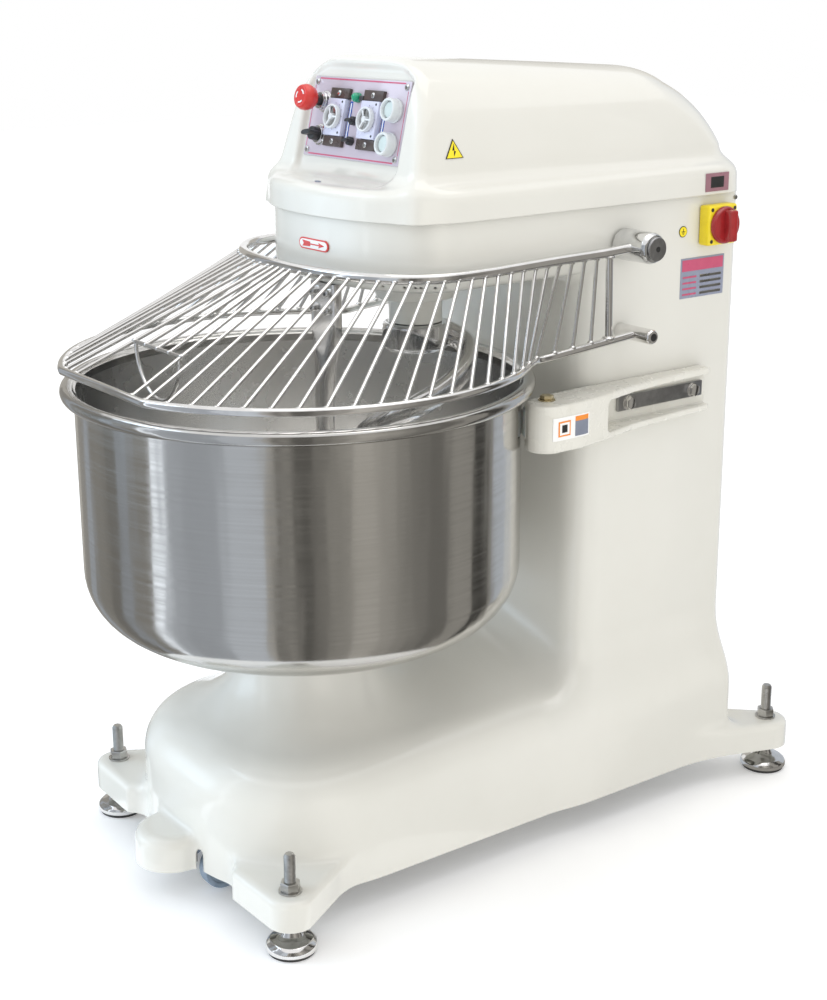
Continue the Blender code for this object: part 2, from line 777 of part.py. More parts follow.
def motor_drive(name, low, high, radius, pulley, up):
    """A vertical motor with a cooling fan cover, and the rotor shaft with its small pulley."""
    at_motor = upright(0.0, back(MOTOR_OFFSET))
    shaft = 0.014
    bore = shaft + GAP
    depth = 0.060
    length = high - low
    flange = 0.014
    body = [
        (0.0, 0.0), (radius * 0.9, 0.0), (radius, 0.050), (radius, length - flange),
        (radius * 1.12, length - flange), (radius * 1.12, length), (bore, length),
        (bore, length - depth), (0.0, length - depth),
    ]
    if up:
        body = [(across, low + along) for across, along in body]
        root = high - depth + 0.001
        rotor = [(0.0, root), (shaft, root), (shaft, pulley[0]), (BELT_SMALL, pulley[0]),
                 (BELT_SMALL, pulley[1]), (0.0, pulley[1])]
    else:
        body = [(across, high - along) for across, along in body]
        root = low + depth - 0.001
        rotor = [(0.0, pulley[0]), (BELT_SMALL, pulley[0]), (BELT_SMALL, pulley[1]),
                 (shaft, pulley[1]), (shaft, root), (0.0, root)]
    motor_grey = material("motor_grey", (0.25, 0.30, 0.33), 0.45, 0.3)
    turned_part(f"{name}_motor", body, motor_grey, at_motor)
    turned_part(f"{name}_motor_pulley", rotor, cast_iron(), at_motor)


def belt(name, offset, large, heights):
    """A closed belt round a large pulley and the motor's small one."""
    distance = MOTOR_OFFSET - offset
    lean = math.degrees(math.asin((large - BELT_SMALL) / distance))

    def loop(extra):
        points = arc((0.0, back(offset)), large + extra, 180.0 - lean, 360.0 + lean, 20)
        points += arc((0.0, back(MOTOR_OFFSET)), BELT_SMALL + extra, lean, 180.0 - lean, 8)
        return points

    low = heights[0] + 0.004
    high = heights[1] - 0.004
    inside = 0.0012
    outside = 0.0092
    rings = []
    for extra, height in ((inside, low), (outside, low), (outside, high), (inside, high)):
        rings.append([(x, y, height) for x, y in loop(extra)])
    bm = bmesh.new()
    loft(bm, rings, closed_path=True)
    make_object(bm, name, rubber())


# ---------------------------------------------------------------- spiral and its drive
def spiral_hook():
    """Collar under the spindle, and the forged bar that winds down from it to the bowl's bottom."""
    axis = Vector((0.0, back(SPINDLE_OFFSET), 0.0))
    collar = turned_part(
        "spiral_hook",
        [(0.0, 0.8155), (0.050, 0.8155), (0.0545, 0.820), (0.0545, 0.8615), (0.0254, 0.8615),
         (0.0254, 0.832), (0.0, 0.832)],
        stainless(), Matrix.Translation(axis),
    )
    path = []
    steps = 34
    for i in range(steps + 1):
        part = i / steps
        turn = math.radians(90.0 - 480.0 * part)
        root = min(part / 0.09, 1.0)
        reach = 0.038 + (0.090 - 0.038) * math.sin(root * math.pi / 2.0)
        tip = max((part - 0.86) / 0.14, 0.0)
        reach -= 0.045 * tip ** 2
        height = 0.838 - 0.400 * max(part - 0.02, 0.0) / 0.98
        path.append(axis + Vector((reach * math.cos(turn), reach * math.sin(turn), height)))
    bm = bmesh.new()
    sweep(bm, path, lambda part: 0.0200 - 0.004 * part, 8, flat=0.66)
    bar = make_object(bm, "bar", None)
    combine(collar, [bar], "UNION")
    pivot(collar, axis)


def spindle():
    """Housing under the head, shaft, two bearings, pulley, and the motor in the column."""
    at_spindle = upright(0.0, back(SPINDLE_OFFSET))
    bearing_outside = 0.0384
    bore = 0.0254
    inside = bearing_outside + 0.0004
    turned_part(
        "spindle_housing",
        [(inside, 0.8625), (0.0440, 0.8625), (0.0440, 0.9020), (0.0640, 0.9025), (0.0680, 0.9120),
         (0.0880, 0.9350), (0.0900, 0.9447), (0.0499, 0.9447), (0.0499, 0.9950), (inside, 0.9950)],
        paint(), at_spindle,
    )
    turned_part("spindle_shaft", disc(0.0250, 0.8325, 1.0950), steel(), at_spindle)
    for place_name, low in (("lower", 0.868), ("upper", 0.968)):
        ring = tube(bore, bearing_outside, low, low + 0.022)
        turned_part(f"spindle_bearing_{place_name}", ring, steel(), at_spindle)
    low, high = HIGH_BELT
    pulley = [
        (bore, low - 0.014), (0.045, low - 0.014), (0.045, low), (SPINDLE_PULLEY_RADIUS, low),
        (SPINDLE_PULLEY_RADIUS, high), (bore, high),
    ]
    turned_part("spindle_pulley", pulley, cast_iron(), at_spindle)
    motor_drive("spiral", 0.640, 0.9297, 0.095, HIGH_BELT, True)
    belt("spiral_belt", SPINDLE_OFFSET, SPINDLE_PULLEY_RADIUS, HIGH_BELT)


def breaker_bar():
    """Flat bar bolted under the head's nose; it tapers and rounds off down into the bowl."""
    rings = []
    for height, half_x, half_y, forward, power in (
        (0.9447, 0.034, 0.0095, 0.0, 0.35), (0.862, 0.034, 0.0095, 0.0, 0.35),
        (0.820, 0.025, 0.0110, 0.002, 0.8), (0.760, 0.018, 0.0130, 0.006, 0.8),
        (0.620, 0.015, 0.0130, 0.008, 0.8), (0.460, 0.013, 0.0120, 0.008, 0.8),
        (0.434, 0.008, 0.0080, 0.008, 0.8),
    ):
        ring = []
        sides = 12
        for k in range(sides):
            angle = 2.0 * math.pi * (k + 0.5) / sides
            x = math.copysign(abs(math.cos(angle)) ** power, math.cos(angle)) * half_x
            y = math.copysign(abs(math.sin(angle)) ** power, math.sin(angle)) * half_y
            ring.append((x, back(BAR_OFFSET - forward) + y, height))
        rings.append(ring)
    bm = bmesh.new()
    loft(bm, rings)
    make_object(bm, "breaker_bar", stainless())


# ---------------------------------------------------------------- bowl guard
def nose_y(x):
    """World Y of the guard's upper tube in front of the head, a superellipse in plan."""
    centre, depth, power = GUARD_NOSE
    share = 1.0 - (abs(x) / GUARD_HALF) ** power
    return back(centre - depth * share ** (1.0 / power))


def guard_top_path():
    """From the left hub round the front of the head to the right hub."""
    hinge_y, hinge_z = GUARD_HINGE
    right = [
        Vector((GUARD_ARM_X, back(hinge_y - 0.016), hinge_z)),
        Vector((0.252, back(0.400), 0.9855)),
        Vector((GUARD_HALF, back(0.250), 0.9815)),
        Vector((GUARD_HALF, back(0.170), GUARD_TOP_Z)),
    ]
    nose = []
    for i in range(1, 20):
        x = GUARD_HALF * math.cos(math.pi * i / 20)
        nose.append(Vector((x, nose_y(x), GUARD_TOP_Z)))
    left = [Vector((-point.x, point.y, point.z)) for point in right[::-1]]
    return right + nose + left


def guard_low_path():
    """From the right stop along the arm, round the bowl's rim, and back to the left stop."""
    corner = math.degrees(math.acos(GUARD_ARM_X / GUARD_LOW_RADIUS))
    front = math.degrees(math.asin(GUARD_CHORD / GUARD_LOW_RADIUS))
    end_y = back(GUARD_HINGE[0] - STOP_RADIUS - GAP)
    right = [Vector((GUARD_ARM_X, end_y, GUARD_STOP_Z))]
    for x, y in arc((0.0, BOWL_Y), GUARD_LOW_RADIUS, corner, -front, 16):
        right.append(Vector((x, y, GUARD_LOW_Z)))
    left = [Vector((-point.x, point.y, point.z)) for point in right[::-1]]
    return right + left


def walk(path, distance):
    """The point this far along a path."""
    for start, end in zip(path, path[1:]):
        length = (end - start).length
        if distance <= length:
            return start.lerp(end, distance / length)
        distance -= length
    return path[-1].copy()


def path_length(path):
    return sum((end - start).length for start, end in zip(path, path[1:]))


def guard_wires():
    """Pairs of ends for the straight wires of the right half, from the post to the feed opening."""
    top = guard_top_path()
    low = guard_low_path()
    post_top = 0.045
    post_low = 0.050
    last_top = path_length(top) / 2.0 - 0.030
    last_low = path_length(low) / 2.0 - 0.090
    count = 24
    wires = []
    for i in range(count + 1):
        share = i / count
        start = walk(top, post_top + (last_top - post_top) * share)
        end = walk(low, post_low + (last_low - post_low) * share)
        wires.append((start, end))
    return wires


def rod(name, start, end, radius, sides):
    bm = bmesh.new()
    sweep(bm, [start, end], radius, sides)
    return make_object(bm, name, None)


def mirrored(point):
    return Vector((-point.x, point.y, point.z))


def bowl_guard():
    """Welded wire guard with its two hinge hubs, as one moving piece."""
    hinge = Vector((0.0, back(GUARD_HINGE[0]), GUARD_HINGE[1]))
    bm = bmesh.new()
    sweep(bm, guard_top_path(), GUARD_TUBE, 6)
    guard = make_object(bm, "bowl_guard", stainless())
    pieces = []
    bm = bmesh.new()
    sweep(bm, guard_low_path(), GUARD_LOW_TUBE, 6)
    pieces.append(make_object(bm, "low_ring", None))
    wires = guard_wires()
    for number, (start, end) in enumerate(wires):
        radius = 0.006 if number == 0 else GUARD_WIRE
        pieces.append(rod("wire", start, end, radius, 4))
        pieces.append(rod("wire", mirrored(start), mirrored(end), radius, 4))
    pieces += feed_opening(*wires[-1])
    for side in (-1.0, 1.0):
        turn = sideways((side * 0.2243, hinge.y, hinge.z), side)
        pieces.append(turned_part("hub", tube(0.0104, HUB_RADIUS, 0.0, 0.0727), None, turn))
    combine(guard, pieces, "UNION")
    paint_all(guard, stainless())
    pivot(guard, hinge)


def feed_opening(top, low):
    """Crossbar above the opening at the front, short wires over it and the loop that hangs under it."""
    corner = low.lerp(top, 0.30)
    other = mirrored(corner)
    pieces = [rod("crossbar", corner, other, GUARD_WIRE, 4)]
    for share in (0.25, 0.5, 0.75):
        start = corner.lerp(other, share)
        across = top.x * (1.0 - 2.0 * share)
        end = Vector((across, nose_y(across), GUARD_TOP_Z))
        pieces.append(rod("short_wire", start, end, GUARD_WIRE, 4))
    loop = []
    for x, z in arc((0.0, 0.0), 1.0, 0.0, -180.0, 10):
        loop.append(corner + Vector((corner.x * (0.94 * x - 1.0), 0.0, 0.078 * z)))
    bm = bmesh.new()
    sweep(bm, loop, GUARD_WIRE, 4)
    pieces.append(make_object(bm, "loop", None))
    return pieces


def guard_pivots():
    """A flanged pin for each hinge hub, and the peg under it that stops the guard's arm."""
    hinge_y = back(GUARD_HINGE[0])
    pin = [
        (0.0, 0.0), (0.0160, 0.0), (0.0160, 0.0035), (0.0100, 0.0035), (0.0100, 0.0772),
        (0.0190, 0.0772), (0.0190, 0.0815), (0.0, 0.0815),
    ]
    peg = [(0.0, 0.0), (STOP_RADIUS, 0.0), (STOP_RADIUS, 0.0760), (0.0100, 0.0785), (0.0, 0.0785)]
    for name, side in (("left", -1.0), ("right", 1.0)):
        face = side * (COLUMN_HALF + GAP)
        at_hinge = sideways((face, hinge_y, GUARD_HINGE[1]), side)
        turned_part(f"guard_pivot_{name}", pin, steel(), at_hinge)
        at_stop = sideways((face, hinge_y, GUARD_STOP_Z), side)
        turned_part(f"guard_stop_{name}", peg, stainless(), at_stop)


# ---------------------------------------------------------------- guide arm on the right side
def guide_arm():
    """Bracket on the column: a channel that runs forward to a fork round the guide roller."""
    low, high = ARM_HEIGHTS
    inner = COLUMN_HALF + GAP
    plan = [(inner, 0.664), (inner, 0.400), (0.2225, 0.330), (0.236, 0.258)]
    plan += arc((0.268, 0.280), 0.030, -95.0, 10.0, 5)
    plan += [(0.297, 0.330), (0.286, 0.400), (0.268, 0.470), (0.258, 0.560), (0.252, 0.655),
             (0.245, 0.664)]
    arm = prism("guide_arm", [(x, back(y)) for x, y in plan], low, high, None)
    combine(arm, guide_arm_cuts(), "DIFFERENCE")
    paint_all(arm, paint())


def guide_arm_cuts():
    """The channel, the fork's slot, the pin's hole and clearance round the bowl."""
    low, high = ARM_HEIGHTS
    roller_x, roller_y = ROLLER_CENTRE
    spot = upright(roller_x, back(roller_y))
    flange = 0.011
    channel = block(
        "channel", (0.2345, back(0.395), low + flange), (0.330, back(0.700), high - flange), None,
    )
    slot = [(0.150, roller_y + 0.040)]
    slot += arc(ROLLER_CENTRE, ROLLER_RADIUS + 0.003, 95.0, -70.0, 14)
    slot.append((0.150, roller_y - 0.060))
    pocket = prism(
        "pocket", [(x, back(y)) for x, y in slot], ROLLER_HEIGHTS[0] - 0.003,
        ROLLER_HEIGHTS[1] + 0.003, None,
    )
    hole = turned_part("pin_hole", disc(0.0083, low - 0.010, high + 0.010), None, spot)
    bowl_room = turned_part(
        "bowl_room", disc(BOWL_RADIUS + 0.006, 0.600, 0.900), None, upright(0.0, BOWL_Y), 96,
    )
    return [channel, pocket, hole, bowl_room]


def guide_roller():
    """Nylon roller on its bolt, and the strap that holds the arm to the column."""
    low, high = ROLLER_HEIGHTS
    spot = upright(ROLLER_CENTRE[0], back(ROLLER_CENTRE[1]))
    nylon = material("nylon", (0.86, 0.86, 0.82), 0.45)
    roller = turned_part("guide_roller", tube(0.0083, ROLLER_RADIUS, low, high), nylon, spot)
    pivot(roller, spot.translation)
    foot = ARM_HEIGHTS[0] - 0.004
    head = ARM_HEIGHTS[1] + GAP
    bolt = [(0.0, foot), (0.0080, foot), (0.0080, head), (0.0120, head), (0.0120, head + 0.008),
            (0.0, head + 0.008)]
    axle = turned_part("guide_roller_axle", bolt, steel(), spot)
    pivot(axle, spot.translation)
    block(
        "guide_strap", (0.2348, back(0.460), 0.7195), (0.2408, back(0.652), 0.7455), steel(),
        0.001, 1,
    )


# ---------------------------------------------------------------- isolator, cabinet, feet, wheels
def isolator():
    """Yellow switch box with a red rotary handle."""
    face = COLUMN_HALF + GAP
    depth = 0.024
    half = 0.033
    y, z = back(0.681), 1.004
    yellow = material("signal_yellow", (0.90, 0.68, 0.02), 0.4)
    block(
        "isolator_base", (face, y - half, z - half), (face + depth, y + half, z + half), yellow,
        0.003, 1,
    )
    plate = [(0.0, 0.0), (0.0310, 0.0), (0.0310, 0.006), (0.0270, 0.012), (0.0, 0.012)]
    handle = turned_part("isolator_handle", plate, signal_red(), sideways((0.0, 0.0, 0.0)))
    grip = block("grip", (0.004, -0.0085, -0.026), (0.026, 0.0085, 0.026), None, 0.003, 1)
    combine(handle, [bake(grip)], "UNION")
    paint_all(handle, signal_red())
    handle.location = (face + depth + GAP, y, z)


def electrical_box():
    """Control cabinet on the inside of the column's left wall."""
    wall = -COLUMN_HALF + CASTING_WALL
    grey = material("cabinet_grey", (0.55, 0.56, 0.57), 0.5)
    block(
        "electrical_box", (wall + GAP, back(0.480), 0.560), (wall + 0.060, back(0.680), 0.860),
        grey, 0.002, 1,
    )


def levelling_foot(name, x, y):
    """A domed pad with its threaded stud, and the lock nut on top of the outrigger."""
    profile = [
        (0.0, 0.0), (0.037, 0.0), (0.037, 0.006), (FOOT_RADIUS, 0.006), (FOOT_RADIUS, 0.013),
        (0.034, 0.021), (0.018, 0.028), (0.013, 0.035), (STUD_RADIUS, 0.036),
        (STUD_RADIUS, STUD_TOP - 0.003), (STUD_RADIUS - 0.002, STUD_TOP), (0.0, STUD_TOP),
    ]
    foot = turned_part(f"foot_{name}", profile, stainless(), None, FEW)
    foot.location = (x, back(y), 0.0)
    ring = tube(STUD_RADIUS + 0.0006, 0.0155, LUG_TOP + GAP, LUG_TOP + 0.0165)
    nut = turned_part(f"foot_nut_{name}", ring, stainless(), None, FEW)
    nut.location = (x, back(y), 0.0)


def feet():
    for end, y in (("front", FOOT_FRONT), ("rear", FOOT_REAR)):
        for hand, side in (("left", -1.0), ("right", 1.0)):
            levelling_foot(f"{end}_{hand}", side * FOOT_X, y)


def transport_wheels():
    """Two wheels under the front of the base, 3 mm clear of the floor while the feet are down."""
    side_x, offset, axle_z = WHEEL_CENTRE
    blue = material("wheel_blue", (0.33, 0.40, 0.48), 0.6)
    stub_end = WHEEL_HALF + 0.0060
    shoulder = WHEEL_HALF + 0.0006
    half = [
        (WHEEL_RADIUS, WHEEL_HALF - 0.003), (WHEEL_RADIUS - 0.003, WHEEL_HALF),
        (0.012, WHEEL_HALF), (0.012, shoulder), (WHEEL_STUB, shoulder), (WHEEL_STUB, stub_end),
        (0.0, stub_end),
    ]
    profile = [(radius, -along) for radius, along in half[::-1]] + half
    for hand, side in (("left", -1.0), ("right", 1.0)):
        wheel = turned_part(f"wheel_{hand}", profile, blue, sideways((0.0, 0.0, 0.0)), FEW)
        wheel.location = (side * side_x, back(offset), axle_z)


# ---------------------------------------------------------------- assembly
def main():
    clear_scene()
    machine_frame()
    rear_cover()
    panel = panel_frame()
    top_cover(panel)
    panel_controls(panel)
    bowl()
    bowl_drive()
    spindle()
    spiral_hook()
    breaker_bar()
    bowl_guard()
    guard_pivots()
    guide_arm()
    guide_roller()
    isolator()
    electrical_box()
    feet()
    transport_wheels()


main()
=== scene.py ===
"""Looks of the floor-standing spiral dough mixer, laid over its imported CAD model.

Distances called "behind" are measured along +Y from the bowl's axis, which is how the machine's
plan is drawn. The casting and the top cover are skinned from smooth distance fields; everything
else is turned, swept or extruded.
"""
import functools
import math

import bmesh
import bpy
import numpy as np
from mathutils import Matrix, Vector

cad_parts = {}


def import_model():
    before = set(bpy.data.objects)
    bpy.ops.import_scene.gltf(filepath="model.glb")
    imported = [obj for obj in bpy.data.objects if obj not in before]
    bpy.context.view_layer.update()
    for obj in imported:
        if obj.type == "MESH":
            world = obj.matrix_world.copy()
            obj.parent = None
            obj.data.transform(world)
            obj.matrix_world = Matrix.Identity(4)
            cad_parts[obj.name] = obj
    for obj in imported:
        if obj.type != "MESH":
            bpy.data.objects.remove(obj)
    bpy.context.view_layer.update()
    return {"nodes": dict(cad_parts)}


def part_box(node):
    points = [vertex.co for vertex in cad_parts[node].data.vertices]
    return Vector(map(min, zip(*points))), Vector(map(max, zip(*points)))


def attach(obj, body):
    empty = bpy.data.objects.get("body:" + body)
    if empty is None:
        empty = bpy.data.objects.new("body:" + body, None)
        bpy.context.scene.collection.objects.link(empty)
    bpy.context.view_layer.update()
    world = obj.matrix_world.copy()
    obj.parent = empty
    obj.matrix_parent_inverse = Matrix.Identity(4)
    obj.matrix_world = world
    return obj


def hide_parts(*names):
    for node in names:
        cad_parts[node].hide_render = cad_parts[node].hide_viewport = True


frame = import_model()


# ---------------------------------------------------------------- places taken from the CAD
def middle(node):
    low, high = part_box(node)
    return (low + high) / 2.0


BOWL_Y = middle("bowl").y
BOWL_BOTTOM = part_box("bowl")[0].z
BOWL_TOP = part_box("bowl")[1].z
BOWL_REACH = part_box("bowl")[1].x
SPINDLE_Y = middle("spindle_housing").y
MOTOR_Y = middle("spiral_motor").y
BASE_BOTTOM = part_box("machine_frame")[0].z
HEAD_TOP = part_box("machine_frame")[1].z
REAR = 0.745
HINGE = Vector((0.0, middle("guard_pivot_right").y, middle("guard_pivot_right").z))
PEG = middle("guard_stop_right")
ROLLER = middle("guide_roller")
ARM_LOW, ARM_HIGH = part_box("guide_arm")
FOOT_X = middle("foot_front_right").x
FOOT_FRONT = middle("foot_front_right").y
FOOT_REAR = middle("foot_rear_right").y
PANEL_LEAN = math.radians(13.1)


def back(distance):
    """World Y of a place this far behind the bowl's axis."""
    return BOWL_Y + distance


# ---------------------------------------------------------------- materials
class Nodes:
    """A short way to write a material's node graph."""

    def __init__(self, name):
        self.material = bpy.data.materials.new(name)
        self.material.use_nodes = True
        self.tree = self.material.node_tree
        self.shader = self.tree.nodes["Principled BSDF"]
        self.place = self.add("ShaderNodeTexCoord").outputs["Object"]

    def add(self, kind, **settings):
        node = self.tree.nodes.new(kind)
        for key, value in settings.items():
            setattr(node, key, value)
        return node

    def join(self, source, target):
        self.tree.links.new(source, target)

    def stretched(self, scale):
        mapping = self.add("ShaderNodeMapping")
        mapping.inputs["Scale"].default_value = scale
        self.join(self.place, mapping.inputs["Vector"])
        return mapping.outputs["Vector"]

    def noise(self, scale, detail=4.0, rough=0.55, place=None):
        node = self.add("ShaderNodeTexNoise")
        node.inputs["Scale"].default_value = scale
        node.inputs["Detail"].default_value = detail
        node.inputs["Roughness"].default_value = rough
        self.join(place or self.place, node.inputs["Vector"])
        return node.outputs["Fac"]

    def spread(self, value, low, high, start=0.3, end=0.7):
        """Maps the start..end part of a value onto low..high."""
        node = self.add("ShaderNodeMapRange")
        node.inputs["From Min"].default_value = start
        node.inputs["From Max"].default_value = end
        node.inputs["To Min"].default_value = low
        node.inputs["To Max"].default_value = high
        self.join(value, node.inputs["Value"])
        return node.outputs["Result"]

    def blend(self, factor, first, second):
        node = self.add("ShaderNodeMix", data_type="RGBA")
        self.join(factor, node.inputs["Factor"])
        for socket, colour in ((node.inputs[6], first), (node.inputs[7], second)):
            if isinstance(colour, tuple):
                socket.default_value = (*colour, 1.0)
            else:
                self.join(colour, socket)
        return node.outputs[2]

    def math(self, operation, first, second=0.0):
        node = self.add("ShaderNodeMath", operation=operation)
        for socket, value in zip(node.inputs, (first, second)):
            if isinstance(value, (int, float)):
                socket.default_value = value
            else:
                self.join(value, socket)
        return node.outputs[0]

    def bump(self, height, strength, distance, normal=None):
        node = self.add("ShaderNodeBump")
        node.inputs["Strength"].default_value = strength
        node.inputs["Distance"].default_value = distance
        self.join(height, node.inputs["Height"])
        if normal:
            self.join(normal, node.inputs["Normal"])
        return node.outputs["Normal"]

    def wear(self, low=0.52, high=0.60):
        """Where an edge stands proud of its surroundings."""
        shape = self.add("ShaderNodeNewGeometry").outputs["Pointiness"]
        return self.spread(shape, 0.0, 1.0, low, high)

    def finish(self, colour, roughness, normal, **values):
        self.join(colour, self.shader.inputs["Base Color"])
        self.join(roughness, self.shader.inputs["Roughness"])
        self.join(normal, self.shader.inputs["Normal"])
        for key, value in values.items():
            self.shader.inputs[key.replace("_", " ")].default_value = value
        return self.material


def enamel():
    """Gloss cream enamel over a casting: slight orange peel, faint dust and thin edges."""
    n = Nodes("cream_enamel")
    tone = n.blend(n.spread(n.noise(2.2, 5.0), 0.0, 1.0), (0.745, 0.735, 0.685), (0.715, 0.705, 0.650))
    dusty = n.blend(n.spread(n.noise(14.0, 6.0), 0.0, 0.05, 0.5, 0.8), tone, (0.56, 0.53, 0.46))
    edge = n.blend(n.math("MULTIPLY", n.wear(0.55, 0.70), 0.12), dusty, (0.84, 0.83, 0.79))
    rough = n.spread(n.noise(5.0, 3.0), 0.20, 0.27)
    fine = n.bump(n.noise(170.0, 2.0), 0.03, 0.0003)
    peel = n.bump(n.noise(11.0, 2.0), 0.05, 0.004, fine)
    return n.finish(edge, rough, peel, Coat_Weight=0.7, Coat_Roughness=0.04)


def arm_enamel():
    """The same enamel on the rougher sand casting of the guide arm."""
    n = Nodes("arm_enamel")
    tone = n.blend(n.spread(n.noise(14.0, 6.0), 0.0, 1.0), (0.740, 0.728, 0.670), (0.700, 0.685, 0.620))
    grime = n.blend(n.spread(n.noise(55.0, 8.0), 0.0, 0.12, 0.55, 0.8), tone, (0.42, 0.38, 0.30))
    rough = n.spread(n.noise(22.0, 6.0), 0.20, 0.34)
    sand = n.bump(n.noise(90.0, 3.0), 0.12, 0.0008)
    return n.finish(grime, rough, sand, Coat_Weight=0.2)


def spun_steel():
    """Polished spun sheet: faint rings round the bowl's axis and long soft ripples."""
    n = Nodes("spun_steel")
    split = n.add("ShaderNodeSeparateXYZ")
    n.join(n.place, split.inputs["Vector"])
    across = split.outputs["X"]
    ahead = n.math("SUBTRACT", split.outputs["Y"], BOWL_Y)
    turn = n.math("ARCTAN2", ahead, across)
    height = split.outputs["Z"]
    rings = n.add("ShaderNodeCombineXYZ")
    n.join(n.math("MULTIPLY", turn, 0.35), rings.inputs["X"])
    n.join(n.math("MULTIPLY", height, 60.0), rings.inputs["Z"])
    lines = n.noise(3.0, 5.0, 0.6, rings.outputs["Vector"])
    tall = n.add("ShaderNodeCombineXYZ")
    n.join(n.math("MULTIPLY", turn, 5.0), tall.inputs["X"])
    n.join(n.math("MULTIPLY", height, 2.2), tall.inputs["Z"])
    ripple = n.noise(1.0, 2.0, 0.4, tall.outputs["Vector"])
    tone = n.blend(n.spread(lines, 0.0, 1.0), (0.655, 0.645, 0.625), (0.615, 0.605, 0.585))
    smear = n.blend(n.spread(n.noise(7.0, 6.0), 0.0, 0.30, 0.5, 0.8), tone, (0.50, 0.49, 0.46))
    rough = n.spread(lines, 0.10, 0.20)
    soft = n.bump(ripple, 0.40, 0.006)
    grain = n.bump(lines, 0.03, 0.0005, soft)
    return n.finish(smear, rough, grain, Metallic=1.0, Anisotropic=0.35)


def inner_steel_painted_paler():
    """The bowl's inside: the same sheet, duller from dough and scrapers. Its colour is set much paler than
    the outside's: painted light standing in for the brighter inner wall.
    """
    n = Nodes("inner_steel_painted_paler")
    tone = n.blend(n.spread(n.noise(6.0, 5.0), 0.0, 1.0), (0.90, 0.89, 0.87), (0.82, 0.81, 0.79))
    smear = n.blend(n.spread(n.noise(19.0, 6.0), 0.0, 0.20, 0.5, 0.8), tone, (0.72, 0.71, 0.68))
    rough = n.spread(n.noise(12.0, 4.0), 0.22, 0.30)
    soft = n.bump(n.noise(9.0, 2.0), 0.20, 0.003)
    return n.finish(smear, rough, soft, Metallic=1.0)


def metal(name, bright, dull, rough, grain, depth=0.05):
    """Bare metal with a fine grain, smears of handling and worn edges."""
    n = Nodes(name)
    tone = n.blend(n.spread(n.noise(grain, 6.0), 0.0, 1.0), bright, dull)
    smear = n.blend(n.spread(n.noise(17.0, 5.0), 0.0, 0.35, 0.5, 0.8), tone, dull)
    edge = n.blend(n.math("MULTIPLY", n.wear(), 0.4), smear, bright)
    shine = n.spread(n.noise(30.0, 5.0), rough * 0.7, rough * 1.4)
    normal = n.bump(n.noise(grain * 3.0, 3.0), depth, 0.0005)
    return n.finish(edge, shine, normal, Metallic=1.0)


def plain(name, colour, second, rough, grain=60.0, depth=0.08, **values):
    """Moulded or painted stuff: two near tones, uneven gloss, a fine texture and pale edges."""
    n = Nodes(name)
    tone = n.blend(n.spread(n.noise(grain, 6.0), 0.0, 1.0), colour, second)
    pale = tuple(min(part * 1.25 + 0.02, 1.0) for part in colour)
    edge = n.blend(n.math("MULTIPLY", n.wear(), 0.35), tone, pale)
    shine = n.spread(n.noise(21.0, 5.0), rough * 0.8, min(rough * 1.25, 1.0))
    normal = n.bump(n.noise(grain * 5.0, 3.0), depth, 0.0004)
    return n.finish(edge, shine, normal, **values)


ENAMEL = enamel()
ARM_ENAMEL = arm_enamel()
SPUN = spun_steel()
INNER_PAINTED_PALER = inner_steel_painted_paler()
POLISHED = metal("polished_steel", (0.86, 0.85, 0.84), (0.76, 0.75, 0.74), 0.12, 40.0)
CHROME = metal("chrome", (0.80, 0.80, 0.80), (0.66, 0.67, 0.68), 0.09, 55.0, 0.03)
SATIN = metal("satin_steel", (0.62, 0.61, 0.59), (0.46, 0.45, 0.43), 0.30, 90.0, 0.10)
MACHINED = metal("machined_steel", (0.48, 0.48, 0.49), (0.34, 0.34, 0.35), 0.38, 110.0, 0.12)
BRASS = metal("yellow_zinc", (0.72, 0.62, 0.40), (0.52, 0.44, 0.28), 0.28, 80.0)
IRON = metal("pulley_iron", (0.20, 0.20, 0.21), (0.12, 0.12, 0.13), 0.55, 70.0, 0.2)
RUBBER = plain("black_rubber", (0.022, 0.022, 0.024), (0.045, 0.043, 0.040), 0.75, 80.0, 0.2)
MOTOR = plain("motor_paint", (0.20, 0.25, 0.29), (0.15, 0.19, 0.22), 0.45)
CABINET = plain("cabinet_paint", (0.52, 0.53, 0.54), (0.46, 0.47, 0.48), 0.5)
BLACK = plain("black_plastic", (0.020, 0.020, 0.022), (0.040, 0.040, 0.042), 0.33)
BRACKET = plain("bracket_plastic", (0.055, 0.038, 0.034), (0.085, 0.060, 0.052), 0.28)
WHITE = plain("white_plastic", (0.80, 0.82, 0.84), (0.72, 0.74, 0.78), 0.3)
DIAL_FACE = plain("timer_face", (0.56, 0.57, 0.70), (0.50, 0.51, 0.64), 0.25)
MINT = plain("mint_plastic", (0.60, 0.68, 0.67), (0.52, 0.61, 0.60), 0.35)
RED = plain("signal_red", (0.66, 0.040, 0.032), (0.54, 0.026, 0.022), 0.30, Coat_Weight=0.3)
CRIMSON = plain("crimson", (0.36, 0.020, 0.022), (0.28, 0.014, 0.016), 0.22, Coat_Weight=0.5)
FROST = plain("frosted_plastic", (0.70, 0.72, 0.74), (0.62, 0.65, 0.68), 0.18, 45.0, 0.03)
YELLOW = plain("signal_yellow", (0.90, 0.70, 0.02), (0.80, 0.60, 0.015), 0.35)
NYLON = plain("nylon", (0.84, 0.85, 0.84), (0.72, 0.73, 0.71), 0.4, Subsurface_Weight=0.2)
WHEEL = plain("wheel_blue", (0.30, 0.38, 0.48), (0.22, 0.29, 0.38), 0.55)
ACRYLIC = plain("panel_acrylic", (0.50, 0.44, 0.51), (0.46, 0.41, 0.48), 0.12, 20.0, 0.02,
                Coat_Weight=0.6)
ROSE = plain("rose_line", (0.52, 0.09, 0.17), (0.46, 0.07, 0.15), 0.3)
BLUE = plain("strip_blue", (0.015, 0.10, 0.48), (0.010, 0.07, 0.38), 0.25)
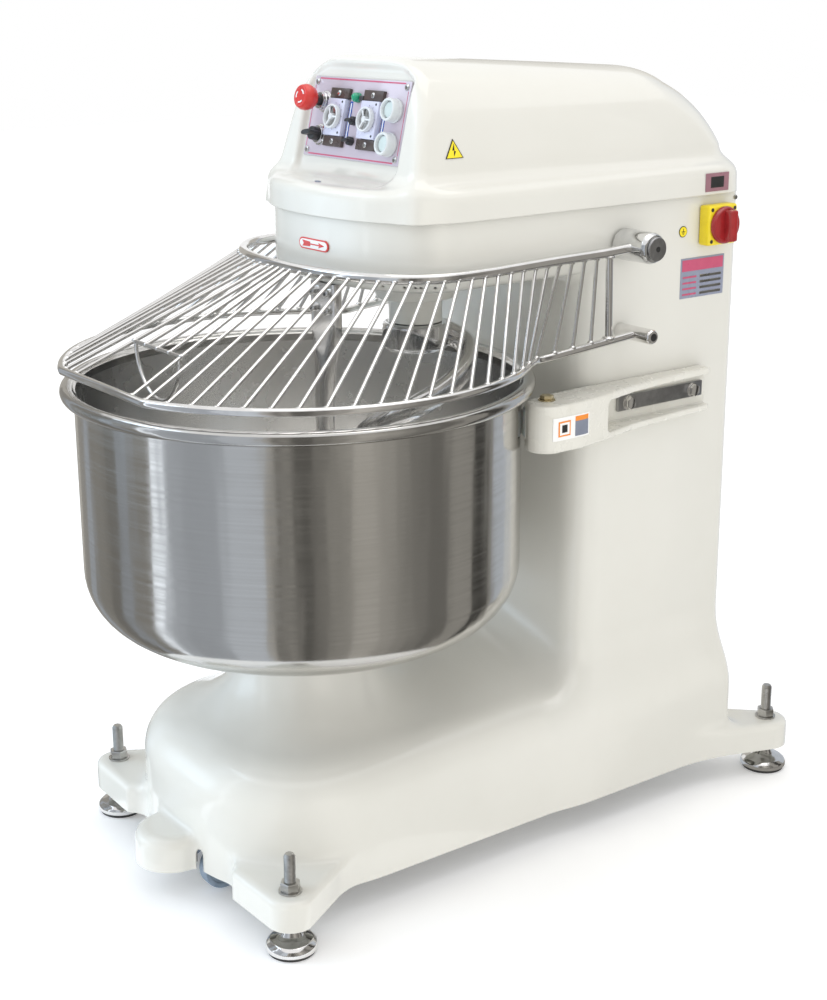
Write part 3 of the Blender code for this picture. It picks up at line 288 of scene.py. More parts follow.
GREEN = plain("pilot_green", (0.010, 0.36, 0.19), (0.008, 0.26, 0.14), 0.15, 90.0, 0.05,
              Coat_Weight=0.8)
ORANGE = plain("label_orange", (0.80, 0.25, 0.02), (0.72, 0.21, 0.02), 0.4)
PLATE = plain("plate_silver", (0.26, 0.28, 0.36), (0.22, 0.24, 0.32), 0.3)
DUSKY = plain("plate_dusky", (0.30, 0.15, 0.18), (0.25, 0.12, 0.15), 0.3)
# slate: printed label edges, and painted shade for the hood's slot
SLATE_PRINT_AND_SHADE = plain("slate_print_and_painted_shade", (0.20, 0.22, 0.28), (0.15, 0.17, 0.22), 0.4)
PAPER = plain("label_white", (0.82, 0.82, 0.80), (0.76, 0.76, 0.73), 0.45)
# black for print, and painted shade in screw sockets and the hinge pins' centre holes
INK_AND_SHADE = plain("black_print_and_painted_shade", (0.015, 0.015, 0.015), (0.03, 0.03, 0.03), 0.45)


def milky(name, colour, second, weight, rough):
    """Plastic that lets some light through."""
    material = plain(name, colour, second, rough, 45.0, 0.03)
    material.node_tree.nodes["Principled BSDF"].inputs["Transmission Weight"].default_value = weight
    material.node_tree.nodes["Principled BSDF"].inputs["IOR"].default_value = 1.46
    return material


MILKY = milky("milky_plastic", (0.80, 0.84, 0.85), (0.74, 0.78, 0.80), 0.18, 0.22)


# ---------------------------------------------------------------- making pieces
def piece(name, bm, material, body, nodes=(), sharp=35.0):
    """Turns a bmesh into a piece of the model that rides a body and stands for CAD nodes."""
    bmesh.ops.remove_doubles(bm, verts=bm.verts, dist=1e-6)
    bmesh.ops.recalc_face_normals(bm, faces=bm.faces)
    mesh = bpy.data.meshes.new(name)
    bm.to_mesh(mesh)
    bm.free()
    mesh.shade_smooth()
    mesh.set_sharp_from_angle(angle=math.radians(sharp))
    return dress(name, mesh, material, body, nodes)


def dress(name, mesh, material, body, nodes=()):
    mesh.materials.append(material)
    item = bpy.data.objects.new(name, mesh)
    bpy.context.scene.collection.objects.link(item)
    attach(item, body)
    if nodes:
        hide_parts(*nodes)
    return item


def loft(bm, rings, closed_path=False, capped=True):
    rows = [[bm.verts.new(point) for point in ring] for ring in rings]
    count = len(rows[0])
    pairs = list(zip(rows, rows[1:]))
    if closed_path:
        pairs.append((rows[-1], rows[0]))
    for lower, upper in pairs:
        for i in range(count):
            j = (i + 1) % count
            bm.faces.new((lower[i], lower[j], upper[j], upper[i]))
    if capped and not closed_path:
        bm.faces.new(rows[0][::-1])
        bm.faces.new(rows[-1])
    return [vertex for row in rows for vertex in row]


def lathe(bm, profile, matrix=None, segments=48):
    """Turns a closed outline of (radius, height) points about Z."""
    turned = []
    for radius, height in profile:
        if radius <= 0.0:
            turned.append([bm.verts.new((0.0, 0.0, height))])
            continue
        ring = []
        for i in range(segments):
            angle = 2.0 * math.pi * i / segments
            ring.append(bm.verts.new((radius * math.cos(angle), radius * math.sin(angle), height)))
        turned.append(ring)
    for first, second in zip(turned, turned[1:] + turned[:1]):
        for i in range(segments):
            j = (i + 1) % segments
            lower = [first[i % len(first)], first[j % len(first)]]
            upper = [second[j % len(second)], second[i % len(second)]]
            face = list(dict.fromkeys(lower + upper))
            if len(face) > 2:
                bm.faces.new(face)
    verts = [vertex for ring in turned for vertex in ring]
    if matrix:
        bmesh.ops.transform(bm, matrix=matrix, verts=verts)
    return verts


def eased(profile, radius, steps=3):
    """Rounds every corner of a (radius, height) outline, leaving the points on the axis."""
    points = []
    count = len(profile)
    for i, point in enumerate(profile):
        here = Vector(point)
        if here.x <= 0.0:
            points.append(tuple(here))
            continue
        before = Vector(profile[i - 1]) - here
        after = Vector(profile[(i + 1) % count]) - here
        reach = min(radius, before.length * 0.45, after.length * 0.45)
        start = here + before.normalized() * reach
        end = here + after.normalized() * reach
        for k in range(steps + 1):
            t = k / steps
            points.append(tuple(start * (1 - t) ** 2 + here * (2 * t * (1 - t)) + end * t ** 2))
    return points


def upright(x, y, z=0.0):
    return Matrix.Translation((x, y, z))


def sideways(start, side=1.0):
    """Turns a part made along Z so that it runs outward along X from the given point."""
    return Matrix.Translation(start) @ Matrix.Rotation(side * math.pi / 2.0, 4, "Y")


def turned(name, profile, material, body, nodes=(), matrix=None, ease=0.0008, segments=48, slot=None):
    bm = bmesh.new()
    lathe(bm, eased(profile, ease), matrix, segments)
    return piece(name, bm, material, body, nodes)


def sweep(bm, path, section, closed_path=False, upward=Vector((0.0, 0.0, 1.0))):
    """Carries a section along a path. section(part) gives points as (across, up)."""
    count = len(path)
    rings = []
    for i, point in enumerate(path):
        ahead = path[(i + 1) % count] if closed_path or i + 1 < count else path[i]
        behind = path[i - 1] if closed_path or i > 0 else path[i]
        tangent = (ahead - behind).normalized()
        side = tangent.cross(upward)
        if side.length < 0.05:
            side = Vector((1.0, 0.0, 0.0))
        side.normalize()
        up = side.cross(tangent).normalized()
        rings.append([point + side * a + up * b for a, b in section(i / max(count - 1, 1))])
    loft(bm, rings, closed_path)


def circle(radius, sides):
    return [
        (radius * math.cos(2.0 * math.pi * k / sides), radius * math.sin(2.0 * math.pi * k / sides))
        for k in range(sides)
    ]


def squared_oval(half_x, half_y, power_x, power_y, count, phase=0.5):
    """Points of a superellipse. Powers under 1 square it off, and phase shifts the first point."""
    points = []
    for k in range(count):
        angle = 2.0 * math.pi * (k + phase) / count
        across, up = math.cos(angle), math.sin(angle)
        x = math.copysign(abs(across) ** power_x, across) * half_x
        y = math.copysign(abs(up) ** power_y, up) * half_y
        points.append((x, y))
    return points


def rod(bm, start, end, radius, sides=8):
    sweep(bm, [start, end], lambda part: circle(radius, sides))


def blob(bm, centre, size):
    """A bead of weld or a rounded lump."""
    matrix = Matrix.Translation(centre) @ Matrix.Diagonal((*size, 1.0))
    bmesh.ops.create_icosphere(bm, subdivisions=2, radius=1.0, matrix=matrix)


def cuboid(bm, low, high, radius=0.0, steps=2, matrix=None):
    """A box with rounded edges."""
    part = bmesh.new()
    corners = bmesh.ops.create_cube(part, size=1.0)["verts"]
    size = Vector(high) - Vector(low)
    centre = (Vector(high) + Vector(low)) / 2.0
    place = Matrix.Translation(centre) @ Matrix.Diagonal((*size, 1.0))
    bmesh.ops.transform(part, matrix=place, verts=corners)
    if radius:
        bmesh.ops.bevel(
            part, geom=list(part.edges), offset=radius, segments=steps, profile=0.5,
            affect="EDGES", clamp_overlap=True,
        )
    merge(bm, part, matrix)


def merge(bm, part, matrix=None):
    """Moves one bmesh's faces into another."""
    if matrix:
        bmesh.ops.transform(part, matrix=matrix, verts=part.verts)
    mesh = bpy.data.meshes.new("part")
    part.to_mesh(mesh)
    part.free()
    bm.from_mesh(mesh)
    bpy.data.meshes.remove(mesh)


def prism(bm, outline, low, high, radius=0.0, steps=2, matrix=None):
    """An outline of (x, y) points between two heights, with its rims rounded."""
    part = bmesh.new()
    loft(part, [[(x, y, z) for x, y in outline] for z in (low, high)])
    if radius:
        rims = [e for e in part.edges if abs(e.verts[0].co.z - e.verts[1].co.z) < 1e-9]
        bmesh.ops.bevel(
            part, geom=rims, offset=radius, segments=steps, profile=0.5, affect="EDGES",
            clamp_overlap=True,
        )
    merge(bm, part, matrix)


def hexagon(across_flats):
    radius = across_flats / math.sqrt(3.0)
    return [
        (radius * math.cos(math.pi * k / 3.0), radius * math.sin(math.pi * k / 3.0))
        for k in range(6)
    ]


def arc(centre, radius, start, end, steps):
    points = []
    for i in range(steps + 1):
        angle = math.radians(start + (end - start) * i / steps)
        points.append((centre[0] + radius * math.cos(angle), centre[1] + radius * math.sin(angle)))
    return points


# ---------------------------------------------------------------- distance fields
def meet(a, b, round_by):
    """The space inside both fields, with the edge between them rounded."""
    return np.maximum(a, b) + np.maximum(round_by - np.abs(a - b), 0.0) ** 2 / (4.0 * round_by)


def blend(a, b, round_by):
    """The space inside either field, with the corner between them filled."""
    return -meet(-a, -b, round_by)


def nose(x, y, half, front, straight, power):
    """Straight sides with a superellipse nose, as a distance in plan."""
    across = np.maximum(np.abs(x) / half, 1e-6)
    ahead = np.maximum(straight - y, 0.0) / (straight - front)
    size = (across ** power + ahead ** power) ** (1.0 / power)
    pull_x = across ** (power - 1.0) / half
    pull_y = ahead ** (power - 1.0) / (straight - front)
    return (size - 1.0) / (np.hypot(pull_x, pull_y) * size ** (1.0 - power))


def within(*fields):
    """The space inside every one of the fields, with sharp edges."""
    return functools.reduce(np.maximum, fields)


def polygon(x, y, points):
    """Signed distance in plan to a closed outline."""
    nearest = np.full(np.broadcast(x, y).shape, 1e9)
    inside = np.zeros(nearest.shape, bool)
    for (ax, ay), (bx, by) in zip(points, points[1:] + points[:1]):
        ex, ey = bx - ax, by - ay
        along = np.clip(((x - ax) * ex + (y - ay) * ey) / (ex * ex + ey * ey), 0.0, 1.0)
        nearest = np.minimum(nearest, np.hypot(x - ax - along * ex, y - ay - along * ey))
        if ey:
            crosses = (ay > y) != (by > y)
            inside ^= crosses & (x < ax + (y - ay) * ex / ey)
    return np.where(inside, -nearest, nearest)


def skin(field, xs, ys, zs, rounds=3):
    """Surface nets: a vertex in each cell the surface crosses and a quad round each crossed edge."""
    axes = (xs, ys, zs)
    grid = np.meshgrid(xs, ys, zs, indexing="ij", sparse=True)
    values = np.ascontiguousarray(np.broadcast_to(field(*grid), tuple(len(a) for a in axes)))
    inside = values < 0.0
    crossings = []
    touched = np.zeros(tuple(len(a) - 1 for a in axes), bool)
    for axis in range(3):
        first = [slice(None)] * 3
        second = [slice(None)] * 3
        first[axis] = slice(0, -1)
        second[axis] = slice(1, None)
        u, v = (axis + 1) % 3, (axis + 2) % 3
        spots = np.argwhere(inside[tuple(first)] != inside[tuple(second)])
        keep = (spots[:, u] > 0) & (spots[:, v] > 0)
        keep &= (spots[:, u] < len(axes[u]) - 1) & (spots[:, v] < len(axes[v]) - 1)
        spots = spots[keep]
        step = np.zeros(3, int)
        step[axis] = 1
        here = values[tuple(spots.T)]
        there = values[tuple((spots + step).T)]
        points = np.stack([axes[d][spots[:, d]] for d in range(3)], 1)
        length = axes[axis][spots[:, axis] + 1] - axes[axis][spots[:, axis]]
        points[:, axis] += length * here / (here - there)
        cells = []
        for du, dv in ((-1, -1), (0, -1), (0, 0), (-1, 0)):
            cell = spots.copy()
            cell[:, u] += du
            cell[:, v] += dv
            touched[tuple(cell.T)] = True
            cells.append(cell)
        crossings.append((points, cells, here > 0.0))
    number = np.full(touched.shape, -1)
    count = int(touched.sum())
    number[touched] = np.arange(count)
    total = np.zeros((count, 3))
    weight = np.zeros(count)
    faces = []
    for points, cells, flip in crossings:
        quad = np.stack([number[tuple(cell.T)] for cell in cells], 1)
        for corner in quad.T:
            for d in range(3):
                total[:, d] += np.bincount(corner, points[:, d], count)
            weight += np.bincount(corner, minlength=count)
        quad[flip] = quad[flip][:, ::-1]
        faces.append(quad)
    faces = np.concatenate(faces)
    verts = settle(field, total / weight[:, None], faces, rounds)
    return verts, faces


def settle(field, verts, faces, rounds):
    """Evens out a mesh's spacing and draws its vertices onto the field's zero surface."""
    count = len(verts)
    ends = np.concatenate([faces[:, [i, (i + 1) % 4]] for i in range(4)])
    both = np.concatenate([ends, ends[:, ::-1]])
    degree = np.maximum(np.bincount(both[:, 0], minlength=count), 1)
    small = 1e-4
    for _ in range(rounds):
        mean = np.stack(
            [np.bincount(both[:, 0], verts[both[:, 1], d], count) / degree for d in range(3)], 1
        )
        verts = verts + 0.5 * (mean - verts)
        for _ in range(2):
            x, y, z = verts.T
            here = field(x, y, z)
            slope = np.stack(
                [(field(x + small * (d == 0), y + small * (d == 1), z + small * (d == 2)) - here)
                 / small for d in range(3)], 1
            )
            size = np.maximum((slope ** 2).sum(1), 0.2)
            move = np.clip(here / size, -0.003, 0.003)
            verts = verts - slope * move[:, None]
    return verts


def surface_at(field, place, inner, outer):
    """The value between inner and outer where place(value) crosses the field's surface."""
    for _ in range(30):
        value = (inner + outer) / 2.0
        if field(*(np.float64(part) for part in place(value))) < 0.0:
            inner = value
        else:
            outer = value
    return inner


def mesh_from(name, verts, faces):
    mesh = bpy.data.meshes.new(name)
    mesh.vertices.add(len(verts))
    mesh.vertices.foreach_set("co", verts.astype(np.float32).ravel())
    mesh.loops.add(faces.size)
    mesh.loops.foreach_set("vertex_index", faces.astype(np.int32).ravel())
    mesh.polygons.add(len(faces))
    mesh.polygons.foreach_set("loop_start", np.arange(0, faces.size, 4, dtype=np.int32))
    mesh.update(calc_edges=True)
    mesh.validate()
    mesh.shade_smooth()
    return mesh


def steps(*parts):
    """Grid lines: (start, end, spacing) parts laid end to end."""
    lines = [np.arange(start, end - spacing * 0.5, spacing) for start, end, spacing in parts]
    return np.concatenate(lines + [np.array([parts[-1][1]])])


# ---------------------------------------------------------------- the casting
HEAD_HALF = 0.220
HEAD_FRONT = 0.029
HEAD_STRAIGHT = 0.160
NOSE_POWER = 2.2
BASE_FLARE = 0.110
NECK_RADIUS = 0.108
NECK_TOP = 0.365
WALL = 0.012


def front_lug():
    end = arc((FOOT_X, FOOT_FRONT - BOWL_Y), 0.038, -85.0, 15.0, 8)
    return [(0.100, -0.190), (0.172, -0.253), *end, (0.254, -0.100), (0.215, -0.060)]


def rear_lug():
    end = arc((FOOT_X, FOOT_REAR - BOWL_Y), 0.038, -15.0, 100.0, 8)
    return [(0.180, 0.700), (0.225, 0.640), (0.252, 0.640), *end, (0.160, 0.742)]


def base_shape(x, behind, z):
    """The base: upright walls that round over into a gently rising deck."""
    wall = meet(nose(x, behind, 0.256, -0.252, 0.0, 2.6), behind - REAR, 0.035)
    deck = z - 0.240 + 0.24 * np.minimum(wall + 0.040, 0.030)
    return meet(wall, deck, 0.070)


def casting(x, y, z):
    """Base, pedestal, column and head as one hollow casting."""
    across = np.abs(x)
    behind = y - BOWL_Y
    radius = np.hypot(x, behind)
    base = base_shape(x, behind, z)
    neck = meet(radius - NECK_RADIUS, z - NECK_TOP, 0.006)
    body = blend(base, neck, BASE_FLARE)
    column = meet(across - 0.220, 0.400 - behind, 0.053)
    body = blend(body, column, 0.090)
    plan = nose(x, behind, HEAD_HALF, HEAD_FRONT, HEAD_STRAIGHT, NOSE_POWER)
    head = meet(plan, 0.945 - z, 0.030)
    body = blend(body, head, np.maximum(0.030 * np.clip((0.212 - across) / 0.03, 0.0, 1.0), 1e-4))
    body = meet(body, behind - REAR, 0.020)
    for outline in (front_lug(), rear_lug()):
        lug = meet(polygon(across, behind, outline), z - 0.098, 0.012)
        body = blend(body, lug, 0.022)
    boss = meet(np.hypot(x, behind + 0.262) - 0.058, z - 0.105, 0.020)
    body = blend(body, boss, 0.015)
    body = meet(body, BASE_BOTTOM - z, 0.006)
    body = meet(body, z - HEAD_TOP, 0.004)
    return np.maximum(body, -hollow(x, across, behind, z, radius, plan))


def hollow(x, across, behind, z, radius, plan):
    """The rooms inside the casting, and the bores between them."""
    base_room = base_shape(x, behind, z) + WALL
    column_room = meet(across - 0.208, 0.414 - behind, 0.042)
    column_room = within(column_room, behind - 0.725, 0.230 - z, z - 0.930)
    door = within(across - 0.190, 0.712 - behind, 0.250 - z, z - 0.920)
    head_room = np.maximum(plan + WALL, np.maximum(0.957 - z, behind - REAR + WALL))
    neck_bore = within(radius - 0.0603, 0.200 - z, z - NECK_TOP - 0.05)
    to_spindle = np.hypot(x, behind - (SPINDLE_Y - BOWL_Y))
    spindle_bore = np.maximum(to_spindle - 0.0503, np.abs(z - 0.950) - 0.050)
    to_motor = np.hypot(x, behind - (MOTOR_Y - BOWL_Y))
    either_motor = np.minimum(np.abs(z - 0.950), np.abs(z - 0.200))
    motor_bore = np.maximum(to_motor - 0.036, either_motor - 0.050)
    wheel = middle("wheel_right")
    wheel_room = np.maximum(np.abs(across - wheel.x) - 0.0135, z - 0.0835)
    wheel_room = np.maximum(wheel_room, np.abs(behind + 0.225) - 0.024)
    rooms = base_room
    for room in (column_room, door, head_room, neck_bore, spindle_bore, motor_bore, wheel_room):
        rooms = np.minimum(rooms, room)
    return rooms


def frame_casting():
    xs = steps((-0.330, 0.330, 0.006))
    ys = BOWL_Y + steps((-0.336, 0.880, 0.006))
    low = ((0.044, 0.110, 0.004), (0.110, 0.400, 0.006))
    high = ((0.400, 0.920, 0.010), (0.920, 1.092, 0.005))
    zs = steps(*low, *high)
    verts, faces = skin(casting, xs, ys, zs)
    mesh = mesh_from("frame_casting", verts, faces)
    dress("frame_casting", mesh, ENAMEL, "frame", ("machine_frame",))


def wheel_carrier():
    """The plate and the cheeks behind the front wall that carry the two wheels."""
    wheel = middle("wheel_right")
    bm = bmesh.new()
    cuboid(bm, (-0.084, back(-0.2425), 0.0857), (0.084, back(-0.155), 0.0963), 0.0012)
    for side in (-1.0, 1.0):
        for edge in (-1.0, 1.0):
            x = side * wheel.x + edge * 0.0147
            low = (x - 0.0025, wheel.y - 0.013, wheel.z - 0.012)
            high = (x + 0.0025, wheel.y + 0.014, 0.0900)
            cuboid(bm, low, high, 0.0008)
    piece("wheel_carrier", bm, ENAMEL, "frame", ())


def rear_panel():
    """Sheet cover over the column's open back, held by screws."""
    low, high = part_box("rear_cover")
    bm = bmesh.new()
    cuboid(bm, low, high, 0.0012)
    piece("rear_panel", bm, ENAMEL, "frame", ("rear_cover",))
    bm = bmesh.new()
    for side in (-1.0, 1.0):
        for share in (0.04, 0.5, 0.96):
            spot = (side * (high.x - 0.010), high.y, low.z + (high.z - low.z) * share)
            turn = Matrix.Translation(spot) @ Matrix.Rotation(-math.pi / 2.0, 4, "X")
            head = [(0.0, 0.0), (0.0055, 0.0), (0.0045, 0.0022), (0.0, 0.0026)]
            lathe(bm, eased(head, 0.0006), turn, 20)
    piece("rear_panel_screws", bm, SATIN, "frame", ())


# ---------------------------------------------------------------- the top cover
PANEL = Vector((0.0, back(0.1155), 1.1916))
ACROSS = Vector((1.0, 0.0, 0.0))
UP_PANEL = Vector((0.0, math.sin(PANEL_LEAN), math.cos(PANEL_LEAN)))
OUT = Vector((0.0, -math.cos(PANEL_LEAN), math.sin(PANEL_LEAN)))
PANEL_THICK = 0.003
SKIRT_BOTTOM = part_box("top_cover")[0].z
SKIRT_REAR = 0.750


def on_panel(u, v, n=0.0):
    """Matrix that stands a part made along Z on the panel's face."""
    place = PANEL + ACROSS * u + UP_PANEL * v + OUT * n
    matrix = Matrix((ACROSS, UP_PANEL, OUT)).transposed().to_4x4()
    return Matrix.Translation(place) @ matrix


def cover_shape(x, y, z):
    """The moulded cover: a rounded skirt, and a hood with a sunk place for the panel."""
    across = np.abs(x)
    behind = y - BOWL_Y
    skirt = nose(x, behind, HEAD_HALF + 0.008, HEAD_FRONT - 0.008, HEAD_STRAIGHT, NOSE_POWER)
    skirt = meet(skirt, behind - SKIRT_REAR, 0.050)
    shoulder = z - 1.100 - 0.10 * np.clip(-skirt - 0.015, 0.0, 0.060)
    skirt = meet(skirt, shoulder, 0.020)
    lean = math.tan(PANEL_LEAN)
    side = (across - 0.195 + 0.20 * (z - 1.108)) * 0.98
    top = z - 1.2875 + 0.063 * (behind - 0.140)
    rear = behind - SKIRT_REAR + 0.005
    face = (0.087 + lean * (z - 1.108) - behind) * math.cos(PANEL_LEAN)
    hood = meet(side, top, 0.100)
    hood = meet(hood, rear, 0.050 + 0.114 * np.clip((z - 1.130) / 0.10, 0.0, 1.0))
    hood = meet(hood, face, 0.024)
    hood = meet(hood, -pocket(across, behind, z), 0.006)
    return blend(skirt, hood, 0.028)


def pocket(across, behind, z):
    """The sunk place, open at its foot: walls with some draft, and sloping upper corners."""
    lean_y = behind - (PANEL.y - BOWL_Y)
    lean_z = z - PANEL.z
    v = lean_y * math.sin(PANEL_LEAN) + lean_z * math.cos(PANEL_LEAN)
    n = -lean_y * math.cos(PANEL_LEAN) + lean_z * math.sin(PANEL_LEAN)
    depth = n + PANEL_THICK
    sides = (across - 0.1325 - 0.45 * depth) * 0.91
    visor = (v - 0.0790 - 0.85 * depth) * 0.76
    corner = 0.49 * across + 0.87 * v - 0.1200 - 0.45 * depth
    opening = meet(meet(sides, corner, 0.006), visor, 0.006)
    return meet(opening, -depth - 0.0003, 0.005)


def top_cover():
    xs = steps((-0.234, 0.234, 0.0036))
    ys = BOWL_Y + steps((0.012, 0.172, 0.003), (0.172, 0.600, 0.007), (0.600, 0.762, 0.005))
    zs = steps((1.041, 1.296, 0.003))
    verts, faces = skin(cover_shape, xs, ys, zs)
    mesh = mesh_from("hood", verts, faces)
    bm = bmesh.new()
    bm.from_mesh(mesh)
    bmesh.ops.bisect_plane(
        bm, geom=list(bm.verts) + list(bm.edges) + list(bm.faces), dist=1e-6,
        plane_co=(0.0, 0.0, SKIRT_BOTTOM), plane_no=(0.0, 0.0, -1.0), clear_outer=True,
    )
    bm.to_mesh(mesh)
    bm.free()
    mesh.shade_smooth()
    item = dress("hood", mesh, ENAMEL, "frame", ("top_cover",))
    wall = item.modifiers.new("wall", "SOLIDIFY")
    wall.thickness = 0.0035
    wall.offset = -1.0
    hood_slot_painted_shade()


def hood_slot_painted_shade():
    """A small slot on the shoulder in front of the panel, drawn as a flat dark disc: painted shade standing
    in for the opening.
    """
    x, y = -0.004, back(0.046)
    z = surface_at(cover_shape, lambda height: (x, y, height), 1.06, 1.16)
    place = Matrix.Translation((x, y, z + 0.0006)) @ Matrix.Rotation(math.radians(8.0), 4, "X")
    narrow = Matrix.Diagonal((1.0, 0.42, 1.0, 1.0))
    bm = bmesh.new()
    lathe(bm, [(0.0, -0.0015), (0.0078, -0.0015), (0.0074, 0.0004), (0.0, 0.0005)], place @ narrow, 32)
    piece("hood_slot_painted_shade", bm, SLATE_PRINT_AND_SHADE, "frame", ())


# ---------------------------------------------------------------- control panel
def flat_box(name, u, v, half_u, half_v, low, high, material, radius=0.0006, nodes=()):
    bm = bmesh.new()
    cuboid(bm, (-half_u, -half_v, low), (half_u, half_v, high), radius, 2, on_panel(u, v))
    return piece(name, bm, material, "frame", nodes)


def screw_head(bm, u, v, radius, low, height):
    """A plain domed screw head on the panel."""
    matrix = on_panel(u, v, low)
    dome = [(0.0, 0.0), (radius, 0.0), (radius, height * 0.4), (radius * 0.7, height * 0.9), (0.0, height)]
    lathe(bm, eased(dome, radius * 0.15), matrix, 20)


def panel_plate():
    flat_box("panel_plate", 0.0, 0.0, 0.128, 0.063, -PANEL_THICK + 0.0001, 0.0, ACRYLIC, 0.0008,
             ("control_panel",))
    bm = bmesh.new()
    for v in (0.0595, -0.0595):
        cuboid(bm, (-0.114, -0.0010, -0.0004), (0.114, 0.0010, 0.0003), 0.0, 1, on_panel(0.0, v))
    for u in (0.1235, -0.1235):
        cuboid(bm, (-0.0005, -0.048, -0.0004), (0.0005, 0.048, 0.0003), 0.0, 1, on_panel(u, 0.0))
    piece("panel_lines", bm, ROSE, "frame", ())
    bm = bmesh.new()
    for u in (-0.119, 0.119):
        for v in (-0.054, 0.054):
            screw_head(bm, u, v, 0.0052, 0.0, 0.0030)
    piece("panel_screws", bm, CHROME, "frame", ())


def timers():
    """Two timers: grey face, dark brackets with screws, a frosted dial rim over a spoked knob."""
    for hand, u in (("first", -0.045), ("second", 0.045)):
        flat_box(f"{hand}_timer_face", u, 0.0, 0.0235, 0.0288, 0.0003, 0.0100, DIAL_FACE, 0.0014,
                 (f"{hand}_timer_body",))
        bm = bmesh.new()
        for v in (0.0375, -0.0375):
            cuboid(bm, (-0.0250, -0.0080, 0.0), (0.0250, 0.0080, 0.0062), 0.0008, 2, on_panel(u, v))
        piece(f"{hand}_timer_brackets", bm, BRACKET, "frame", ())
        bm = bmesh.new()
        for v in (0.0375, -0.0375):
            screw_head(bm, u, v, 0.0046, 0.0062, 0.0026)
        piece(f"{hand}_timer_screws", bm, CHROME, "frame", ())
        bm = bmesh.new()
        place = on_panel(u + 0.0285, -0.002)
        cuboid(bm, (-0.0034, -0.0300, 0.0), (0.0034, 0.0285, 0.0008), 0.0003, 1, place)
        piece(f"{hand}_timer_strip", bm, BLUE, "frame", ())
        # a thin white bar beside the timer: a painted highlight on the timer's side
        bm = bmesh.new()
        place = on_panel(u + 0.0290, -0.002)
        cuboid(bm, (-0.0014, -0.0275, 0.0006), (0.0014, 0.0260, 0.0012), 0.0002, 1, place)
        piece(f"{hand}_timer_painted_highlight", bm, WHITE, "frame", ())
        timer_marks(hand, u)
        timer_dial(hand, u)


def timer_marks(hand, u):
    """Small blank marks printed on the timer's face."""
    bm = bmesh.new()
    dot = [(0.0, 0.0098), (0.0019, 0.0098), (0.0019, 0.0103), (0.0, 0.0103)]
    for dv in (0.0240, -0.0240):
        lathe(bm, dot, on_panel(u + 0.0165, dv), 14)
    for k in range(12):
        angle = math.radians(30.0 * k)
        turn = on_panel(u, 0.001) @ Matrix.Rotation(angle, 4, "Z")
        cuboid(bm, (-0.0003, 0.0196, 0.0098), (0.0003, 0.0212, 0.0103), 0.0, 1, turn)
    piece(f"{hand}_timer_marks", bm, INK_AND_SHADE, "frame", ())


def timer_dial(hand, u):
    body = f"{hand}_timer"
    spot = on_panel(u, 0.0)
    rim = [(0.0150, 0.0106), (0.0190, 0.0106), (0.0190, 0.0180), (0.0178, 0.0184), (0.0163, 0.0184),
           (0.0155, 0.0150)]
    turned(f"{hand}_dial_rim", rim, FROST, body, (f"{hand}_timer_knob",), spot, 0.0007, 48, "clear_plastic")
    turned(f"{hand}_dial_plate", [(0.0, 0.0106), (0.0152, 0.0106), (0.0152, 0.0134), (0.0, 0.0134)], SATIN,
           body, (), spot, 0.0004, 40, "clear_plastic")
    bm = bmesh.new()
    lathe(bm, eased([(0.0, 0.0130), (0.0056, 0.0130), (0.0048, 0.0180), (0.0, 0.0184)], 0.0006), spot, 24)
    for k in range(3):
        turn = spot @ Matrix.Rotation(2.0 * math.pi / 3.0 * k + 0.5, 4, "Z")
        cuboid(bm, (-0.0014, 0.0, 0.0130), (0.0014, 0.0156, 0.0172), 0.0005, 1, turn)
    piece(f"{hand}_dial_spokes", bm, FROST, body, ())
    bm = bmesh.new()
    cuboid(bm, (-0.0007, 0.0040, 0.0166), (0.0007, 0.0150, 0.0176), 0.0002, 1, spot)
    piece(f"{hand}_dial_pointer", bm, INK_AND_SHADE, body, ())


def emergency_stop():
    spot = on_panel(-0.088, 0.023)
    collar = [(0.0086, 0.0003), (0.0172, 0.0003), (0.0172, 0.0030), (0.0145, 0.0045), (0.0145, 0.0090),
              (0.0132, 0.0100), (0.0132, 0.0140), (0.0086, 0.0140)]
    turned("estop_ring", collar, CHROME, "frame", ("estop_collar",), spot, 0.0006, 40, "stainless_steel")
    turned("estop_post", [(0.0, 0.006), (0.0080, 0.006), (0.0080, 0.030), (0.0, 0.030)], BLACK,
           "estop_stem", ("estop_stem",), spot, 0.0006, 32, "black_plastic")
    head = [(0.0, 0.0303), (0.0083, 0.0303), (0.0083, 0.0240), (0.0125, 0.0236), (0.0172, 0.0285),
            (0.0205, 0.0370), (0.0205, 0.0430), (0.0176, 0.0500), (0.0150, 0.0512), (0.0136, 0.0500),
            (0.0, 0.0512)]
    turned("estop_head", head, RED, "estop_button", ("estop_button",), spot, 0.0016, 64, "signal_red")
    bm = bmesh.new()
    for k in range(3):
        middle_angle = 120.0 * k + 20.0
        band = arc((0.0, 0.0), 0.0108, middle_angle, middle_angle + 56.0, 8)
        band += arc((0.0, 0.0), 0.0088, middle_angle + 56.0, middle_angle, 8)
        prism(bm, band, 0.0502, 0.0514, 0.0, 1, spot)
    piece("estop_marks", bm, WHITE, "estop_button", ())


def lever(name, u, v, body, radius, start, height, node, turn=100.0):
    """A round black knob with a tapered finger grip across it, turned from upright."""
    matrix = on_panel(u, v) @ Matrix.Rotation(math.radians(turn), 4, "Z")
    bm = bmesh.new()
    disc = [(0.0, start), (radius, start), (radius * 0.96, start + height * 0.50),
            (0.0, start + height * 0.56)]
    lathe(bm, eased(disc, 0.0012), matrix, 32)
    grip = squared_oval(radius * 1.12, radius * 0.34, 0.6, 0.7, 20)
    outline = [(y, x) for x, y in grip]
    prism(bm, outline, start + 0.001, start + height, 0.0012, 3, matrix)
    piece(name, bm, BLACK, body, (node,))


